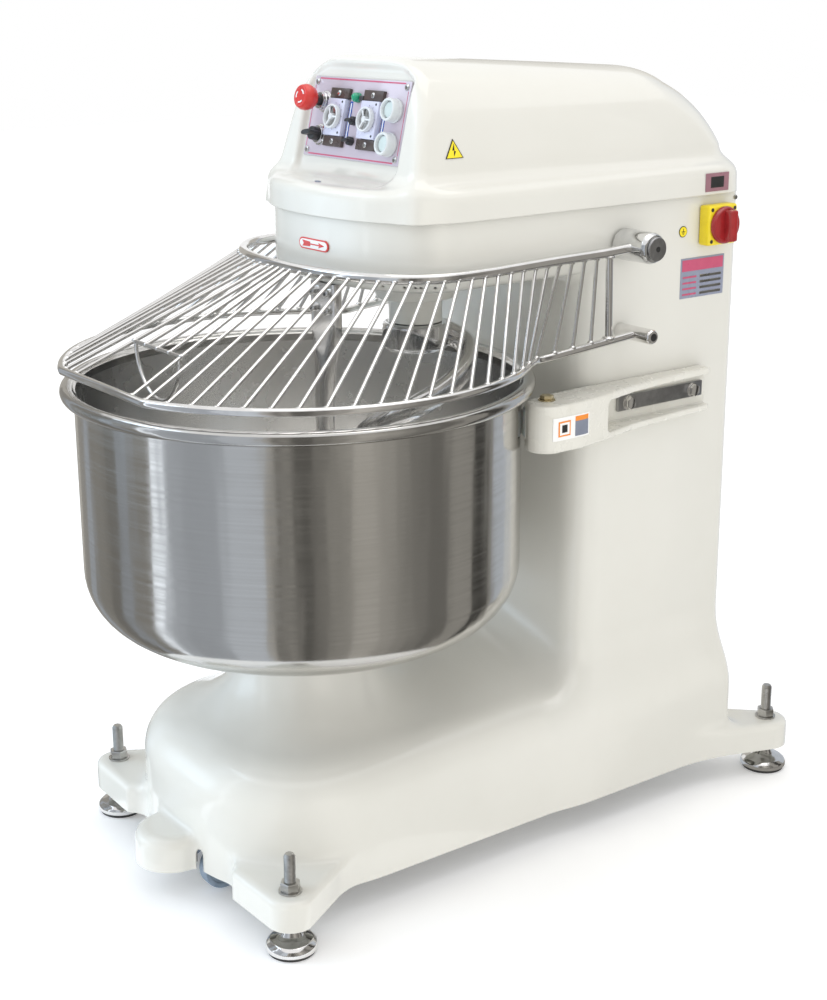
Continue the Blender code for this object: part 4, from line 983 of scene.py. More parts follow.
def selectors():
    bezel = [(0.0, 0.0003), (0.0170, 0.0003), (0.0170, 0.0022), (0.0140, 0.0036), (0.0140, 0.0080),
             (0.0, 0.0080)]
    turned("selector_ring", bezel, CHROME, "frame", ("selector_bezel",), on_panel(-0.088, -0.029), 0.0007,
           40, "stainless_steel")
    lever("bowl_lever", -0.088, -0.029, "bowl_selector", 0.0110, 0.0083, 0.022, "bowl_selector_knob")
    lever("mode_lever", 0.0, -0.003, "mode_selector", 0.0070, 0.0003, 0.016, "mode_selector_knob")
    lever("speed_lever", 0.0, -0.034, "speed_selector", 0.0070, 0.0003, 0.016, "speed_selector_knob")


def pilot():
    lens = [(0.0, 0.0003), (0.0080, 0.0003), (0.0080, 0.0050), (0.0068, 0.0095), (0.0040, 0.0125),
            (0.0, 0.0133)]
    turned("pilot_lens", lens, GREEN, "frame", ("pilot_lamp",), on_panel(0.0, 0.033), 0.0008, 14,
           "pilot_green")
    # a small black block beside the pilot lamp
    flat_box("pilot_side_block", 0.0150, 0.032, 0.0050, 0.0040, 0.0003, 0.0075, BLACK, 0.0008)


def push_buttons():
    """Tall milky shrouds with a recessed mint cap in each."""
    shroud = [(0.0130, 0.0003), (0.0185, 0.0003), (0.0185, 0.0040), (0.0176, 0.0050), (0.0176, 0.0160),
              (0.0163, 0.0180), (0.0140, 0.0180), (0.0130, 0.0165)]
    cap = [(0.0, 0.0045), (0.0124, 0.0045), (0.0124, 0.0120), (0.0110, 0.0135), (0.0085, 0.0135),
           (0.0, 0.0128)]
    for name, v in (("start", 0.018), ("stop", -0.033)):
        spot = on_panel(0.100, v)
        button = f"{name}_button"
        turned(f"{name}_shroud", shroud, MILKY, "frame", (f"{name}_bezel",), spot, 0.0008, 56,
               "clear_plastic")
        turned(f"{name}_cap", cap, MINT, button, (button,), spot, 0.0008, 48, "white_plastic")


def control_panel():
    panel_plate()
    timers()
    emergency_stop()
    selectors()
    pilot()
    push_buttons()


# ---------------------------------------------------------------- bowl
BEAD = 0.011
BOWL_WALL_RADIUS = 0.350
BOWL_SHEET = 0.003
BOWL_CORNER = 0.098
BOWL_DISH = 0.012
RIM_RADIUS = BOWL_REACH - BEAD
RIM_Z = BOWL_TOP - BEAD


def bowl():
    """Spun bowl with a dished bottom, an open lip and a rolled bead."""
    corner_z = BOWL_BOTTOM + BOWL_DISH + BOWL_CORNER
    flat = BOWL_WALL_RADIUS - BOWL_CORNER

    def side(thickness):
        points = [(0.0, BOWL_BOTTOM + thickness)]
        for k in range(1, 9):
            share = k / 8.0
            points.append((flat * share, BOWL_BOTTOM + BOWL_DISH * share ** 2 + thickness))
        points += arc((flat, corner_z), BOWL_CORNER - thickness, -90.0, 0.0, 14)[1:]
        for k in range(1, 6):
            points.append((BOWL_WALL_RADIUS - thickness, corner_z + (RIM_Z - 0.010 - corner_z) * k / 5.0))
        return points

    bead = arc((RIM_RADIUS, RIM_Z), BEAD, -158.0, 158.0, 22)
    lip = [(BOWL_WALL_RADIUS - BOWL_SHEET, RIM_Z + 0.002)]
    profile = side(0.0) + bead + lip + side(BOWL_SHEET)[::-1]
    bm = bmesh.new()
    lathe(bm, profile, upright(0.0, BOWL_Y), 160)
    item = piece("spun_bowl", bm, SPUN, "bowl", ("bowl",), 50.0)
    # the inward faces and the bottom get the paler steel: painted light on the bowl's inside
    item.data.materials.append(INNER_PAINTED_PALER)
    for face in item.data.polygons:
        spot = face.center
        inward = face.normal.x * spot.x + face.normal.y * (spot.y - BOWL_Y) < 0.0
        level = math.hypot(spot.x, spot.y - BOWL_Y) < 0.1 and face.normal.z > 0.0
        if spot.z < RIM_Z - BEAD and (inward or level):
            face.material_index = 1
    hub = [(0.0303, 0.3665), (0.096, 0.3665), (0.104, 0.374), (0.104, 0.3955), (0.0303, 0.3955)]
    turned("bowl_flange", hub, SATIN, "bowl", ("bowl_hub",), upright(0.0, BOWL_Y), 0.0016, 72,
           "machined_steel")


# ---------------------------------------------------------------- spindle, spiral and bar
def spindle():
    flange = [(0.0388, 0.8625), (0.0440, 0.8625), (0.0440, 0.9020), (0.0640, 0.9030), (0.0665, 0.9100),
              (0.0700, 0.9180), (0.0780, 0.9270), (0.0880, 0.9350), (0.0900, 0.9446), (0.0499, 0.9446),
              (0.0499, 0.9948), (0.0388, 0.9948)]
    turned("spindle_flange", flange, ENAMEL, "frame", ("spindle_housing",), upright(0.0, SPINDLE_Y),
           0.0016, 72, "cream_enamel")


def spiral():
    """Polished collar, and the forged bar that winds down from it with a welded root."""
    collar = [(0.0, 0.8155), (0.0480, 0.8155), (0.0545, 0.8220), (0.0545, 0.8575), (0.0515, 0.8615),
              (0.0254, 0.8615), (0.0254, 0.8325), (0.0, 0.8325)]
    turned("spiral_collar", collar, CHROME, "spiral", ("spiral_hook",), upright(0.0, SPINDLE_Y), 0.0024,
           80, "polished_steel")
    axis = Vector((0.0, SPINDLE_Y, 0.0))
    path = []
    count = 190
    for i in range(count + 1):
        part = i / count
        turn = math.radians(90.0 - 480.0 * part)
        root = min(part / 0.09, 1.0)
        reach = 0.038 + (0.090 - 0.038) * math.sin(root * math.pi / 2.0)
        tip = max((part - 0.86) / 0.14, 0.0)
        reach -= 0.045 * tip ** 2
        height = 0.838 - 0.400 * max(part - 0.02, 0.0) / 0.98
        path.append(axis + Vector((reach * math.cos(turn), reach * math.sin(turn), height)))

    def section(part):
        size = 0.0200 - 0.004 * part
        end = max((part - 0.975) / 0.025, 0.0)
        size *= math.sqrt(max(1.0 - 0.96 * end ** 2, 0.02))
        lumpy = 1.0 + 0.025 * math.sin(part * 61.0) * math.exp(-part * 6.0)
        return squared_oval(size * 0.66 * lumpy, size, 0.85, 0.85, 20, 0.0)

    bm = bmesh.new()
    sweep(bm, path, section)
    piece("spiral_bar", bm, POLISHED, "spiral", (), 60.0)
    bm = bmesh.new()
    for k in range(15):
        turn = math.radians(90.0 - 44.0 + 88.0 * k / 14.0)
        wobble = 0.0014 * math.sin(k * 2.3)
        for height in (0.8245 + wobble, 0.8560 - wobble):
            spot = axis + Vector((0.0520 * math.cos(turn), 0.0520 * math.sin(turn), height))
            blob(bm, spot, (0.0058, 0.0058, 0.0044))
    piece("spiral_weld", bm, POLISHED, "spiral", ())


def breaker_bar():
    """Flat bar bolted under the head; it narrows, shifts forward a little and rounds off in the bowl."""
    low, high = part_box("breaker_bar")
    bar_y = back(0.055)
    stations = ((high.z, 0.034, 0.0095, 0.0, 0.35), (0.880, 0.034, 0.0095, 0.0, 0.35),
                (0.858, 0.0330, 0.0097, 0.0, 0.42), (0.838, 0.0295, 0.0103, 0.001, 0.60),
                (0.815, 0.0240, 0.0112, 0.003, 0.78), (0.785, 0.0200, 0.0124, 0.005, 0.80),
                (0.750, 0.0175, 0.0130, 0.006, 0.80), (0.680, 0.0160, 0.0130, 0.007, 0.80),
                (0.600, 0.0150, 0.0130, 0.008, 0.80), (0.520, 0.0140, 0.0125, 0.008, 0.80),
                (0.462, 0.0130, 0.0120, 0.008, 0.80), (0.446, 0.0115, 0.0108, 0.008, 0.80),
                (0.438, 0.0090, 0.0085, 0.008, 0.80), (low.z, 0.0050, 0.0048, 0.008, 0.80))
    rings = []
    for height, half_x, half_y, forward, power in stations:
        section = squared_oval(half_x, half_y, power, power, 28)
        rings.append([(x, bar_y - forward + y, height) for x, y in section])
    bm = bmesh.new()
    loft(bm, rings)
    piece("bar", bm, POLISHED, "frame", ("breaker_bar",), 40.0)
    bm = bmesh.new()
    socket_shade = bmesh.new()
    head = [(0.0, -0.001), (0.0075, -0.001), (0.0075, 0.0065), (0.0046, 0.0072), (0.0, 0.0072)]
    for x in (-0.0195, 0.0195):
        for z in (0.9033, 0.9300):
            face = Matrix.Translation((x, bar_y - 0.0095, z)) @ Matrix.Rotation(math.pi / 2.0, 4, "X")
            lathe(bm, eased(head, 0.0009), face, 28)
            # a flat black hexagon on each head: painted shade standing in for the hex socket
            prism(socket_shade, hexagon(0.0060), 0.0060, 0.0074, 0.0, 1, face)
    piece("bar_screws", bm, CHROME, "frame", ())
    piece("bar_screw_socket_shade", socket_shade, INK_AND_SHADE, "frame", ())


# ---------------------------------------------------------------- bowl guard
GUARD_ARM_X = 0.262
GUARD_HALF = 0.252
GUARD_NOSE = (0.130, 0.155, 2.2)
GUARD_TOP_Z = 0.979
GUARD_LOW_Z = 0.835
GUARD_LOW_RADIUS = 0.365
GUARD_CHORD = 0.342


def nose_y(x):
    centre, depth, power = GUARD_NOSE
    share = max(1.0 - (abs(x) / GUARD_HALF) ** power, 0.0)
    return back(centre - depth * share ** (1.0 / power))


def mirrored(point):
    return Vector((-point.x, point.y, point.z))


def rounded(points, each=6):
    """Catmull-Rom curve through the points."""
    curve = []
    for i in range(len(points) - 1):
        a = points[max(i - 1, 0)]
        b, c = points[i], points[i + 1]
        d = points[min(i + 2, len(points) - 1)]
        for k in range(each):
            t = k / each
            curve.append(0.5 * (2 * b + (c - a) * t + (2 * a - 5 * b + 4 * c - d) * t ** 2
                                + (3 * b - a - 3 * c + d) * t ** 3))
    curve.append(points[-1].copy())
    return curve


def guard_top_path():
    hinge = HINGE.y - BOWL_Y
    right = [
        Vector((GUARD_ARM_X, back(hinge - 0.016), HINGE.z)), Vector((0.2555, back(0.400), 0.9855)),
        Vector((0.2525, back(0.320), 0.9835)), Vector((GUARD_HALF, back(0.250), 0.9815)),
        Vector((GUARD_HALF, back(0.190), 0.9795)),
    ]
    right = rounded(right, 5)
    front = []
    count = 72
    for i in range(0, count + 1):
        x = GUARD_HALF * math.cos(math.pi * i / count)
        front.append(Vector((x, nose_y(x), GUARD_TOP_Z)))
    return right + front + [mirrored(point) for point in right[::-1]]


def guard_low_path():
    corner = math.degrees(math.acos(GUARD_ARM_X / GUARD_LOW_RADIUS))
    front = math.degrees(math.asin(GUARD_CHORD / GUARD_LOW_RADIUS))
    end = PEG.y - 0.0123
    start = Vector((GUARD_ARM_X, end, PEG.z))
    knee = Vector((GUARD_ARM_X, back(0.292), GUARD_LOW_Z + 0.0020))
    right = [start.lerp(knee, k / 6.0) for k in range(6)]
    sweep_round = arc((0.0, BOWL_Y), GUARD_LOW_RADIUS, corner - 3.5, -front, 60)
    ring = [Vector((x, y, GUARD_LOW_Z)) for x, y in sweep_round]
    bend = Vector((GUARD_ARM_X - 0.0005, back(0.266), GUARD_LOW_Z))
    right += rounded([knee, bend, ring[0]], 5) + ring[1:]
    return right + [mirrored(point) for point in right[::-1]]


def walk(path, distance):
    for start, end in zip(path, path[1:]):
        length = (end - start).length
        if distance <= length:
            return start.lerp(end, distance / length)
        distance -= length
    return path[-1].copy()


def path_length(path):
    return sum((end - start).length for start, end in zip(path, path[1:]))


def guard_wires():
    """Ends of the right half's straight wires, from the post to the feed opening."""
    top = guard_top_path()
    low = guard_low_path()
    last_top = path_length(top) / 2.0 - 0.030
    last_low = path_length(low) / 2.0 - 0.090
    wires = []
    for i in range(25):
        share = i / 24
        start = walk(top, 0.045 + (last_top - 0.045) * share)
        end = walk(low, 0.050 + (last_low - 0.050) * share)
        wires.append((start, end))
    return wires


def guard():
    bm = bmesh.new()
    sweep(bm, guard_top_path(), lambda part: circle(0.008, 14))
    piece("guard_top_tube", bm, POLISHED, "guard", ("bowl_guard",), 60.0)
    bm = bmesh.new()
    sweep(bm, guard_low_path(), lambda part: circle(0.0065, 12))
    piece("guard_low_tube", bm, POLISHED, "guard", (), 60.0)
    wires = guard_wires()
    bm = bmesh.new()
    welds = bmesh.new()
    for number, (start, end) in enumerate(wires):
        radius = 0.006 if number == 0 else 0.0031
        for a, b in ((start, end), (mirrored(start), mirrored(end))):
            rod(bm, a, b, radius, 10)
            along = (b - a).normalized()
            blob(welds, b - along * 0.0045, (radius * 1.9, radius * 1.9, 0.0052))
            blob(welds, a + along * 0.0075, (radius * 1.6, radius * 1.6, 0.0036))
    feed_opening(bm, welds, *wires[-1])
    piece("guard_wires", bm, POLISHED, "guard", (), 60.0)
    piece("guard_welds", welds, POLISHED, "guard", (), 60.0)
    for hand, side in (("left", -1.0), ("right", 1.0)):
        place = sideways((side * 0.2243, HINGE.y, HINGE.z), side)
        hub = [(0.0104, 0.0), (0.0250, 0.0), (0.0250, 0.0640), (0.0215, 0.0715), (0.0150, 0.0727),
               (0.0104, 0.0727)]
        turned(f"guard_hub_{hand}", hub, CHROME, "guard", (), place, 0.0022, 64, "stainless_steel")


def feed_opening(bm, welds, top, low):
    """Crossbar over the opening at the front, three short wires and the loop hung under it."""
    corner = low.lerp(top, 0.30)
    other = mirrored(corner)
    rod(bm, corner, other, 0.0031, 10)
    for share in (0.25, 0.5, 0.75):
        start = corner.lerp(other, share)
        across = top.x * (1.0 - 2.0 * share)
        end = Vector((across, nose_y(across), GUARD_TOP_Z))
        rod(bm, start, end, 0.0031, 10)
        blob(welds, start, (0.0052, 0.0042, 0.0042))
    for spot in (corner, other):
        blob(welds, spot, (0.0052, 0.0048, 0.0048))
    loop = []
    for x, z in arc((0.0, 0.0), 1.0, 0.0, -180.0, 36):
        loop.append(corner + Vector((corner.x * (0.94 * x - 1.0), 0.0, 0.078 * z)))
    sweep(bm, loop, lambda part: circle(0.0031, 10), False, Vector((0.0, 1.0, 0.0)))


def guard_pivots():
    pin = [(0.0, 0.0), (0.0160, 0.0), (0.0160, 0.0035), (0.0100, 0.0035), (0.0100, 0.0772),
           (0.0190, 0.0772), (0.0190, 0.0800), (0.0175, 0.0815), (0.0, 0.0815)]
    peg = [(0.0, 0.0), (0.0120, 0.0), (0.0120, 0.0745), (0.0095, 0.0785), (0.0, 0.0785)]
    # a small black disc on the pin's end: painted shade standing in for its centre hole
    pin_hole_shade = [(0.0, 0.0800), (0.0045, 0.0800), (0.0045, 0.0819), (0.0, 0.0819)]
    peg_end = [(0.0, 0.0778), (0.0065, 0.0778), (0.0065, 0.0789), (0.0, 0.0789)]
    for hand, side in (("left", -1.0), ("right", 1.0)):
        at_hinge = sideways((side * 0.2203, HINGE.y, HINGE.z), side)
        turned(f"hinge_pin_{hand}", pin, MACHINED, "frame", (f"guard_pivot_{hand}",), at_hinge, 0.0007, 40,
               "machined_steel")
        turned(f"hinge_pin_hole_shade_{hand}", pin_hole_shade, INK_AND_SHADE, "frame", (), at_hinge, 0.0003, 24,
               "black_plastic")
        at_stop = sideways((side * 0.2203, PEG.y, PEG.z), side)
        turned(f"stop_peg_{hand}", peg, POLISHED, "frame", (f"guard_stop_{hand}",), at_stop, 0.0014, 40,
               "stainless_steel")
        turned(f"stop_peg_end_{hand}", peg_end, INK_AND_SHADE, "frame", (), at_stop, 0.0003, 24,
               "black_plastic")


# ---------------------------------------------------------------- guide arm
ARM_PLAN = [(0.2203, 0.664), (0.2203, 0.400), (0.2225, 0.330), (0.236, 0.258),
            *arc((0.268, 0.280), 0.0325, -95.0, 10.0, 12),
            (0.2995, 0.330), (0.286, 0.400), (0.268, 0.470), (0.258, 0.560), (0.252, 0.655), (0.245, 0.664)]


ARM_FACE_INNER = 0.2962          # the arm's outer face lies between these two
ARM_FACE_OUTER = 0.31


def arm_shape(x, y, z):
    """Bracket on the column: a channel that runs forward to a fork round the roller."""
    behind = y - BOWL_Y
    mid_z = (ARM_LOW.z + ARM_HIGH.z) / 2.0
    half_z = (ARM_HIGH.z - ARM_LOW.z) / 2.0
    body = meet(polygon(x, behind, ARM_PLAN), np.abs(z - mid_z) - half_z, 0.007)
    channel = np.maximum(0.2345 - x, np.abs(z - mid_z) - half_z + 0.011)
    channel = meet(channel, np.maximum(0.395 - behind, behind - 0.720), 0.010)
    ribs = np.abs(behind - 0.425) - 0.0030
    ribs = np.maximum(ribs, x - 0.2420)
    channel = np.maximum(channel, -ribs)
    around = np.hypot(x - ROLLER.x, y - ROLLER.y) - 0.0395
    slot = np.maximum(np.minimum(around, np.maximum(x - ROLLER.x, np.abs(y - ROLLER.y) - 0.039)),
                      np.abs(z - ROLLER.z) - 0.0245)
    bowl_room = BOWL_WALL_RADIUS + 0.006 - np.hypot(x, behind)
    return within(body, -channel, -slot, bowl_room)


def guide_arm():
    xs = steps((0.212, 0.306, 0.0021))
    ys = BOWL_Y + steps((0.238, 0.672, 0.0024))
    zs = steps((0.684, 0.778, 0.0023))
    verts, faces = skin(arm_shape, xs, ys, zs, 4)
    mesh = mesh_from("arm_casting", verts, faces)
    dress("arm_casting", mesh, ARM_ENAMEL, "frame", ("guide_arm",))
    low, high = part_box("guide_roller")
    wheel = [(0.0083, low.z), (0.0370, low.z), (0.0380, low.z + 0.004), (0.0380, high.z - 0.004),
             (0.0370, high.z), (0.0083, high.z)]
    spot = upright(ROLLER.x, ROLLER.y)
    turned("nylon_roller", wheel, NYLON, "guide_roller", ("guide_roller",), spot, 0.0018, 64, "nylon")
    foot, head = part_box("guide_roller_axle")[0].z, ARM_HIGH.z + 0.0003
    bm = bmesh.new()
    lathe(bm, eased([(0.0, foot), (0.0080, foot), (0.0080, head), (0.0, head)], 0.0008), spot, 32)
    washer = [(0.0, head), (0.0135, head), (0.0135, head + 0.0016), (0.0, head + 0.0016)]
    lathe(bm, eased(washer, 0.0005), spot, 32)
    prism(bm, hexagon(0.0190), head + 0.0016, head + 0.0080, 0.0008, 2, spot)
    piece("roller_bolt", bm, BRASS, "frame", ("guide_roller_axle",))
    strap_low, strap_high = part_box("guide_strap")
    bm = bmesh.new()
    cuboid(bm, strap_low, strap_high, 0.0012)
    piece("strap", bm, MACHINED, "frame", ("guide_strap",))
    bm = bmesh.new()
    for distance in (0.481, 0.628):
        face = sideways((strap_high.x, back(distance), (strap_low.z + strap_high.z) / 2.0))
        lathe(bm, eased([(0.0, 0.0), (0.0120, 0.0), (0.0120, 0.0018), (0.0, 0.0018)], 0.0005), face, 32)
        prism(bm, hexagon(0.0180), 0.0018, 0.0092, 0.0008, 2, face)
    piece("strap_bolts", bm, POLISHED, "frame", ())


# ---------------------------------------------------------------- isolator, feet, wheels, labels
def isolator():
    low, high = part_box("isolator_base")
    bm = bmesh.new()
    cuboid(bm, low, high, 0.0045, 3)
    piece("isolator_box", bm, YELLOW, "frame", ("isolator_base",))
    hub = middle("isolator_handle")
    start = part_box("isolator_handle")[0].x
    spot = sideways((start, hub.y, hub.z))
    bm = bmesh.new()
    disc = [(0.0, 0.0), (0.0308, 0.0), (0.0310, 0.0058), (0.0280, 0.0105), (0.0, 0.0120)]
    lathe(bm, eased(disc, 0.0022), spot, 56)
    part = bmesh.new()
    cuboid(part, (0.004, -0.0085, -0.0258), (0.0258, 0.0085, 0.0258), 0.0036, 3)
    merge(bm, part, Matrix.Translation((start, hub.y, hub.z)))
    piece("isolator_knob", bm, CRIMSON, "isolator_handle", ("isolator_handle",))
    bm = bmesh.new()
    for dy in (-0.026, 0.026):
        for dz in (-0.026, 0.026):
            lathe(bm, [(0.0, 0.0), (0.0032, 0.0), (0.0032, 0.0008), (0.0, 0.0008)],
                  sideways((high.x - 0.0004, hub.y + dy, hub.z + dz)), 16)
    piece("isolator_screws", bm, BLACK, "frame", ())


def levelling_foot(name, x, y):
    """A domed stainless pad over a rubber sole, its threaded stud, and the lock nut."""
    body = f"foot_{name}"
    spot = upright(x, y)
    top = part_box(body)[1].z
    sole = [(0.0, 0.0), (0.0365, 0.0), (0.0375, 0.0060), (0.0, 0.0060)]
    turned(f"sole_{name}", sole, RUBBER, body, (), spot, 0.0012, 56, "black_rubber")
    pad = [(0.0, 0.0058), (0.0400, 0.0058), (0.0400, 0.0120), (0.0385, 0.0155), (0.0330, 0.0205),
           (0.0230, 0.0245), (0.0180, 0.0280), (0.0140, 0.0340), (0.0125, 0.0375), (0.0, 0.0375)]
    turned(f"pad_{name}", pad, POLISHED, body, (body,), spot, 0.0016, 64, "stainless_steel")
    bm = bmesh.new()
    pitch = 0.0022
    threads = [(0.0, 0.0370)]
    height = 0.0380
    while height < top - 0.004:
        threads.append((0.0080, height))
        threads.append((0.0090, height + pitch / 2.0))
        height += pitch
    threads += [(0.0075, top - 0.0015), (0.0065, top), (0.0, top)]
    lathe(bm, threads, spot, 28)
    piece(f"stud_{name}", bm, SATIN, body, (), 25.0)
    nut_low, nut_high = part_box(f"foot_nut_{name}")
    bm = bmesh.new()
    low_z, high_z = nut_low.z + 0.0022, nut_high.z
    washer = [(0.0098, nut_low.z), (0.0180, nut_low.z), (0.0180, low_z), (0.0098, low_z)]
    lathe(bm, eased(washer, 0.0005), spot, 40)
    outer = hexagon(0.0270)
    inner = circle(0.0098, 6)
    turn = spot @ Matrix.Rotation(math.radians(17.0 if x > 0.0 else 41.0), 4, "Z")
    rings = []
    for shape, z, shrink in ((inner, low_z, 1.0), (outer, low_z, 0.95), (outer, low_z + 0.0012, 1.0),
                             (outer, high_z - 0.0016, 1.0), (outer, high_z, 0.92), (inner, high_z, 1.0)):
        rings.append([(px * shrink, py * shrink, z) for px, py in shape])
    part = bmesh.new()
    loft(part, rings, closed_path=True)
    merge(bm, part, turn)
    piece(f"nut_{name}", bm, SATIN, "frame", (f"foot_nut_{name}",), 25.0)


def feet():
    for end, y in (("front", FOOT_FRONT), ("rear", FOOT_REAR)):
        for hand, side in (("left", -1.0), ("right", 1.0)):
            levelling_foot(f"{end}_{hand}", side * FOOT_X, y)


def wheels():
    half = [(0.0380, 0.0085), (0.0368, 0.0110), (0.0300, 0.0110), (0.0285, 0.0092), (0.0150, 0.0092),
            (0.0120, 0.0110), (0.0120, 0.0116), (0.0050, 0.0116), (0.0050, 0.0170), (0.0, 0.0170)]
    profile = [(radius, -along) for radius, along in half[::-1]] + half
    for hand in ("left", "right"):
        centre = middle(f"wheel_{hand}")
        turned(f"tread_wheel_{hand}", profile, WHEEL, f"wheel_{hand}", (f"wheel_{hand}",),
               sideways(centre), 0.0010, 48, "wheel_blue")


def side_label(name, low_y, high_y, low_z, high_z, x, material, thick=0.0005, lean=0.0):
    """A blank sticker on the machine's right side."""
    bm = bmesh.new()
    mid = Vector((x, back((low_y + high_y) / 2.0), (low_z + high_z) / 2.0))
    half_y, half_z = (high_y - low_y) / 2.0, (high_z - low_z) / 2.0
    matrix = Matrix.Translation(mid) @ Matrix.Rotation(lean, 4, "Y")
    cuboid(bm, (-thick, -half_y, -half_z), (thick, half_y, half_z), thick * 0.8, 1, matrix)
    piece(name, bm, material, "frame", ())


def decal(name, field, behind, heights, material, lift):
    """A thin rectangular sticker bent over the right-hand face of a field."""
    rows = []
    for i in range(13):
        y = back(behind[0] + (behind[1] - behind[0]) * i / 12.0)
        row = []
        for z in heights:
            x = surface_at(field, lambda across: (across, y, z), ARM_FACE_INNER, ARM_FACE_OUTER)
            row.append((x, y, z))
        rows.append(row)
    rings = []
    shift = Vector((lift, 0.0, 0.0))
    for low, high in rows:
        low, high = Vector(low), Vector(high)
        rings.append([low - shift, low + shift, high + shift, high - shift])
    bm = bmesh.new()
    loft(bm, rings)
    piece(name, bm, material, "frame", ())


def head_arrow():
    """A turning-direction mark on the head's nose: a red pill with a pale arrow in it."""
    bm = bmesh.new()
    arrow = bmesh.new()
    place = nose_place(0.0077, 0.0003)
    pill = arc((0.0305, 0.0), 0.0088, -90.0, 90.0, 10) + arc((-0.0305, 0.0), 0.0088, 90.0, 270.0, 10)
    prism(bm, pill, -0.0012, 0.0008, 0.0, 1, place)
    ring = [(x * 0.94, y * 0.76) for x, y in pill]
    prism(arrow, ring, 0.0006, 0.0011, 0.0, 1, place)
    mark = bmesh.new()
    tip = [(-0.030, -0.0048), (-0.008, -0.0036), (-0.008, -0.0010), (0.016, -0.0010), (0.014, -0.0042),
           (0.030, 0.0), (0.014, 0.0042), (0.016, 0.0010), (-0.008, 0.0010), (-0.008, 0.0036),
           (-0.030, 0.0048), (-0.026, 0.0)]
    prism(mark, tip, 0.0009, 0.0014, 0.0, 1, place)
    piece("arrow_pill", bm, RED, "frame", ())
    piece("arrow_ring", arrow, PAPER, "frame", ())
    piece("arrow_mark", mark, RED, "frame", ())


def nose_place(x, lift):
    """Stands a part on the head's rounded nose at this X."""
    power, half, front, straight = NOSE_POWER, HEAD_HALF, HEAD_FRONT, HEAD_STRAIGHT
    reach = (1.0 - (abs(x) / half) ** power) ** (1.0 / power)
    y = back(straight - (straight - front) * reach)
    pull_x = math.copysign((abs(x) / half) ** (power - 1.0) / half, x)
    pull_y = -reach ** (power - 1.0) / (straight - front)
    out = Vector((pull_x, pull_y, 0.0)).normalized()
    up = Vector((0.0, 0.0, 1.0))
    across = up.cross(out)
    turn = Matrix((across, up, out)).transposed().to_4x4()
    return Matrix.Translation(Vector((x, y, 1.0070)) + out * lift) @ turn


def labels():
    """Generic blanks: a warning triangle with a plain bolt shape, an earth disc and plates."""
    tilt = math.atan(0.20)
    base = Vector((0.195 - 0.20 * (1.1525 - 1.108) + 0.0008, back(0.162), 1.1525))
    turn = Matrix.Rotation(-tilt, 4, "Y") @ Matrix.Rotation(math.pi / 2.0, 4, "Y")
    matrix = Matrix.Translation(base) @ turn
    triangle = [(0.0100, -0.0168), (0.0100, 0.0168), (-0.0190, 0.0)]
    bm = bmesh.new()
    prism(bm, triangle, -0.0004, 0.0003, 0.0, 1, matrix)
    piece("hazard_border", bm, INK_AND_SHADE, "frame", ())
    bm = bmesh.new()
    prism(bm, [(x * 0.86 + 0.0004, y * 0.86) for x, y in triangle], 0.0002, 0.0006, 0.0, 1, matrix)
    piece("hazard_face", bm, YELLOW, "frame", ())
    bm = bmesh.new()
    bolt = [(-0.0120, 0.0010), (-0.0016, -0.0034), (-0.0020, -0.0002), (0.0072, -0.0012), (-0.0006, 0.0034),
            (-0.0006, 0.0006)]
    prism(bm, bolt, 0.0005, 0.0009, 0.0, 1, matrix)
    piece("hazard_bolt", bm, INK_AND_SHADE, "frame", ())
    side_label("skirt_plate", 0.652, 0.706, 1.058, 1.088, 0.2288, DUSKY)
    side_label("skirt_plate_mark", 0.664, 0.694, 1.064, 1.082, 0.2294, INK_AND_SHADE)
    side_label("rating_plate", 0.611, 0.7125, 0.884, 0.951, 0.2203, PLATE)
    side_label("rating_plate_band", 0.614, 0.7095, 0.929, 0.948, 0.2209, ROSE)
    for row in range(4):
        height = 0.889 + 0.0095 * row
        side_label(f"rating_row_{row}", 0.616, 0.648, height, height + 0.0030, 0.2209, ROSE)
        side_label(f"rating_box_{row}", 0.656, 0.706, height - 0.001, height + 0.0035, 0.2209, SATIN)
    decal("arm_label", arm_shape, (0.268, 0.343), (0.714, 0.750), PAPER, 0.0012)
    decal("arm_label_edge", arm_shape, (0.312, 0.3405), (0.7165, 0.7405), SLATE_PRINT_AND_SHADE, 0.0016)
    decal("arm_label_band", arm_shape, (0.312, 0.3405), (0.7405, 0.7480), ORANGE, 0.0016)
    decal("arm_label_spot", arm_shape, (0.277, 0.302), (0.7200, 0.7440), ORANGE, 0.0016)
    decal("arm_label_gap", arm_shape, (0.2795, 0.2995), (0.7225, 0.7415), PAPER, 0.0019)
    decal("arm_label_heart", arm_shape, (0.284, 0.295), (0.7260, 0.7380), INK_AND_SHADE, 0.0022)
    head_arrow()
    spot = Vector((0.2200, back(0.613), 0.996))
    bm = bmesh.new()
    lathe(bm, [(0.0, 0.0), (0.0092, 0.0), (0.0092, 0.0006), (0.0, 0.0006)], sideways(spot), 40)
    for row, half in enumerate((0.0042, 0.0028, 0.0014)):
        height = spot.z - 0.0004 - 0.0020 * row
        cuboid(bm, (spot.x, spot.y - half, height), (spot.x + 0.0013, spot.y + half, height + 0.0009))
    cuboid(bm, (spot.x, spot.y - 0.0005, spot.z), (spot.x + 0.0013, spot.y + 0.0005, spot.z + 0.0050))
    piece("earth_ring", bm, INK_AND_SHADE, "frame", ())
    bm = bmesh.new()
    lathe(bm, [(0.0, 0.0), (0.0080, 0.0), (0.0080, 0.0010), (0.0, 0.0010)], sideways(spot), 40)
    piece("earth_disc", bm, YELLOW, "frame", ())
    bm = bmesh.new()
    lathe(bm, eased([(0.0, 0.0), (0.0042, 0.0), (0.0036, 0.0022), (0.0, 0.0026)], 0.0004),
          sideways((0.2200, back(0.733), 1.043)), 20)
    piece("rear_corner_screw", bm, SATIN, "frame", ())


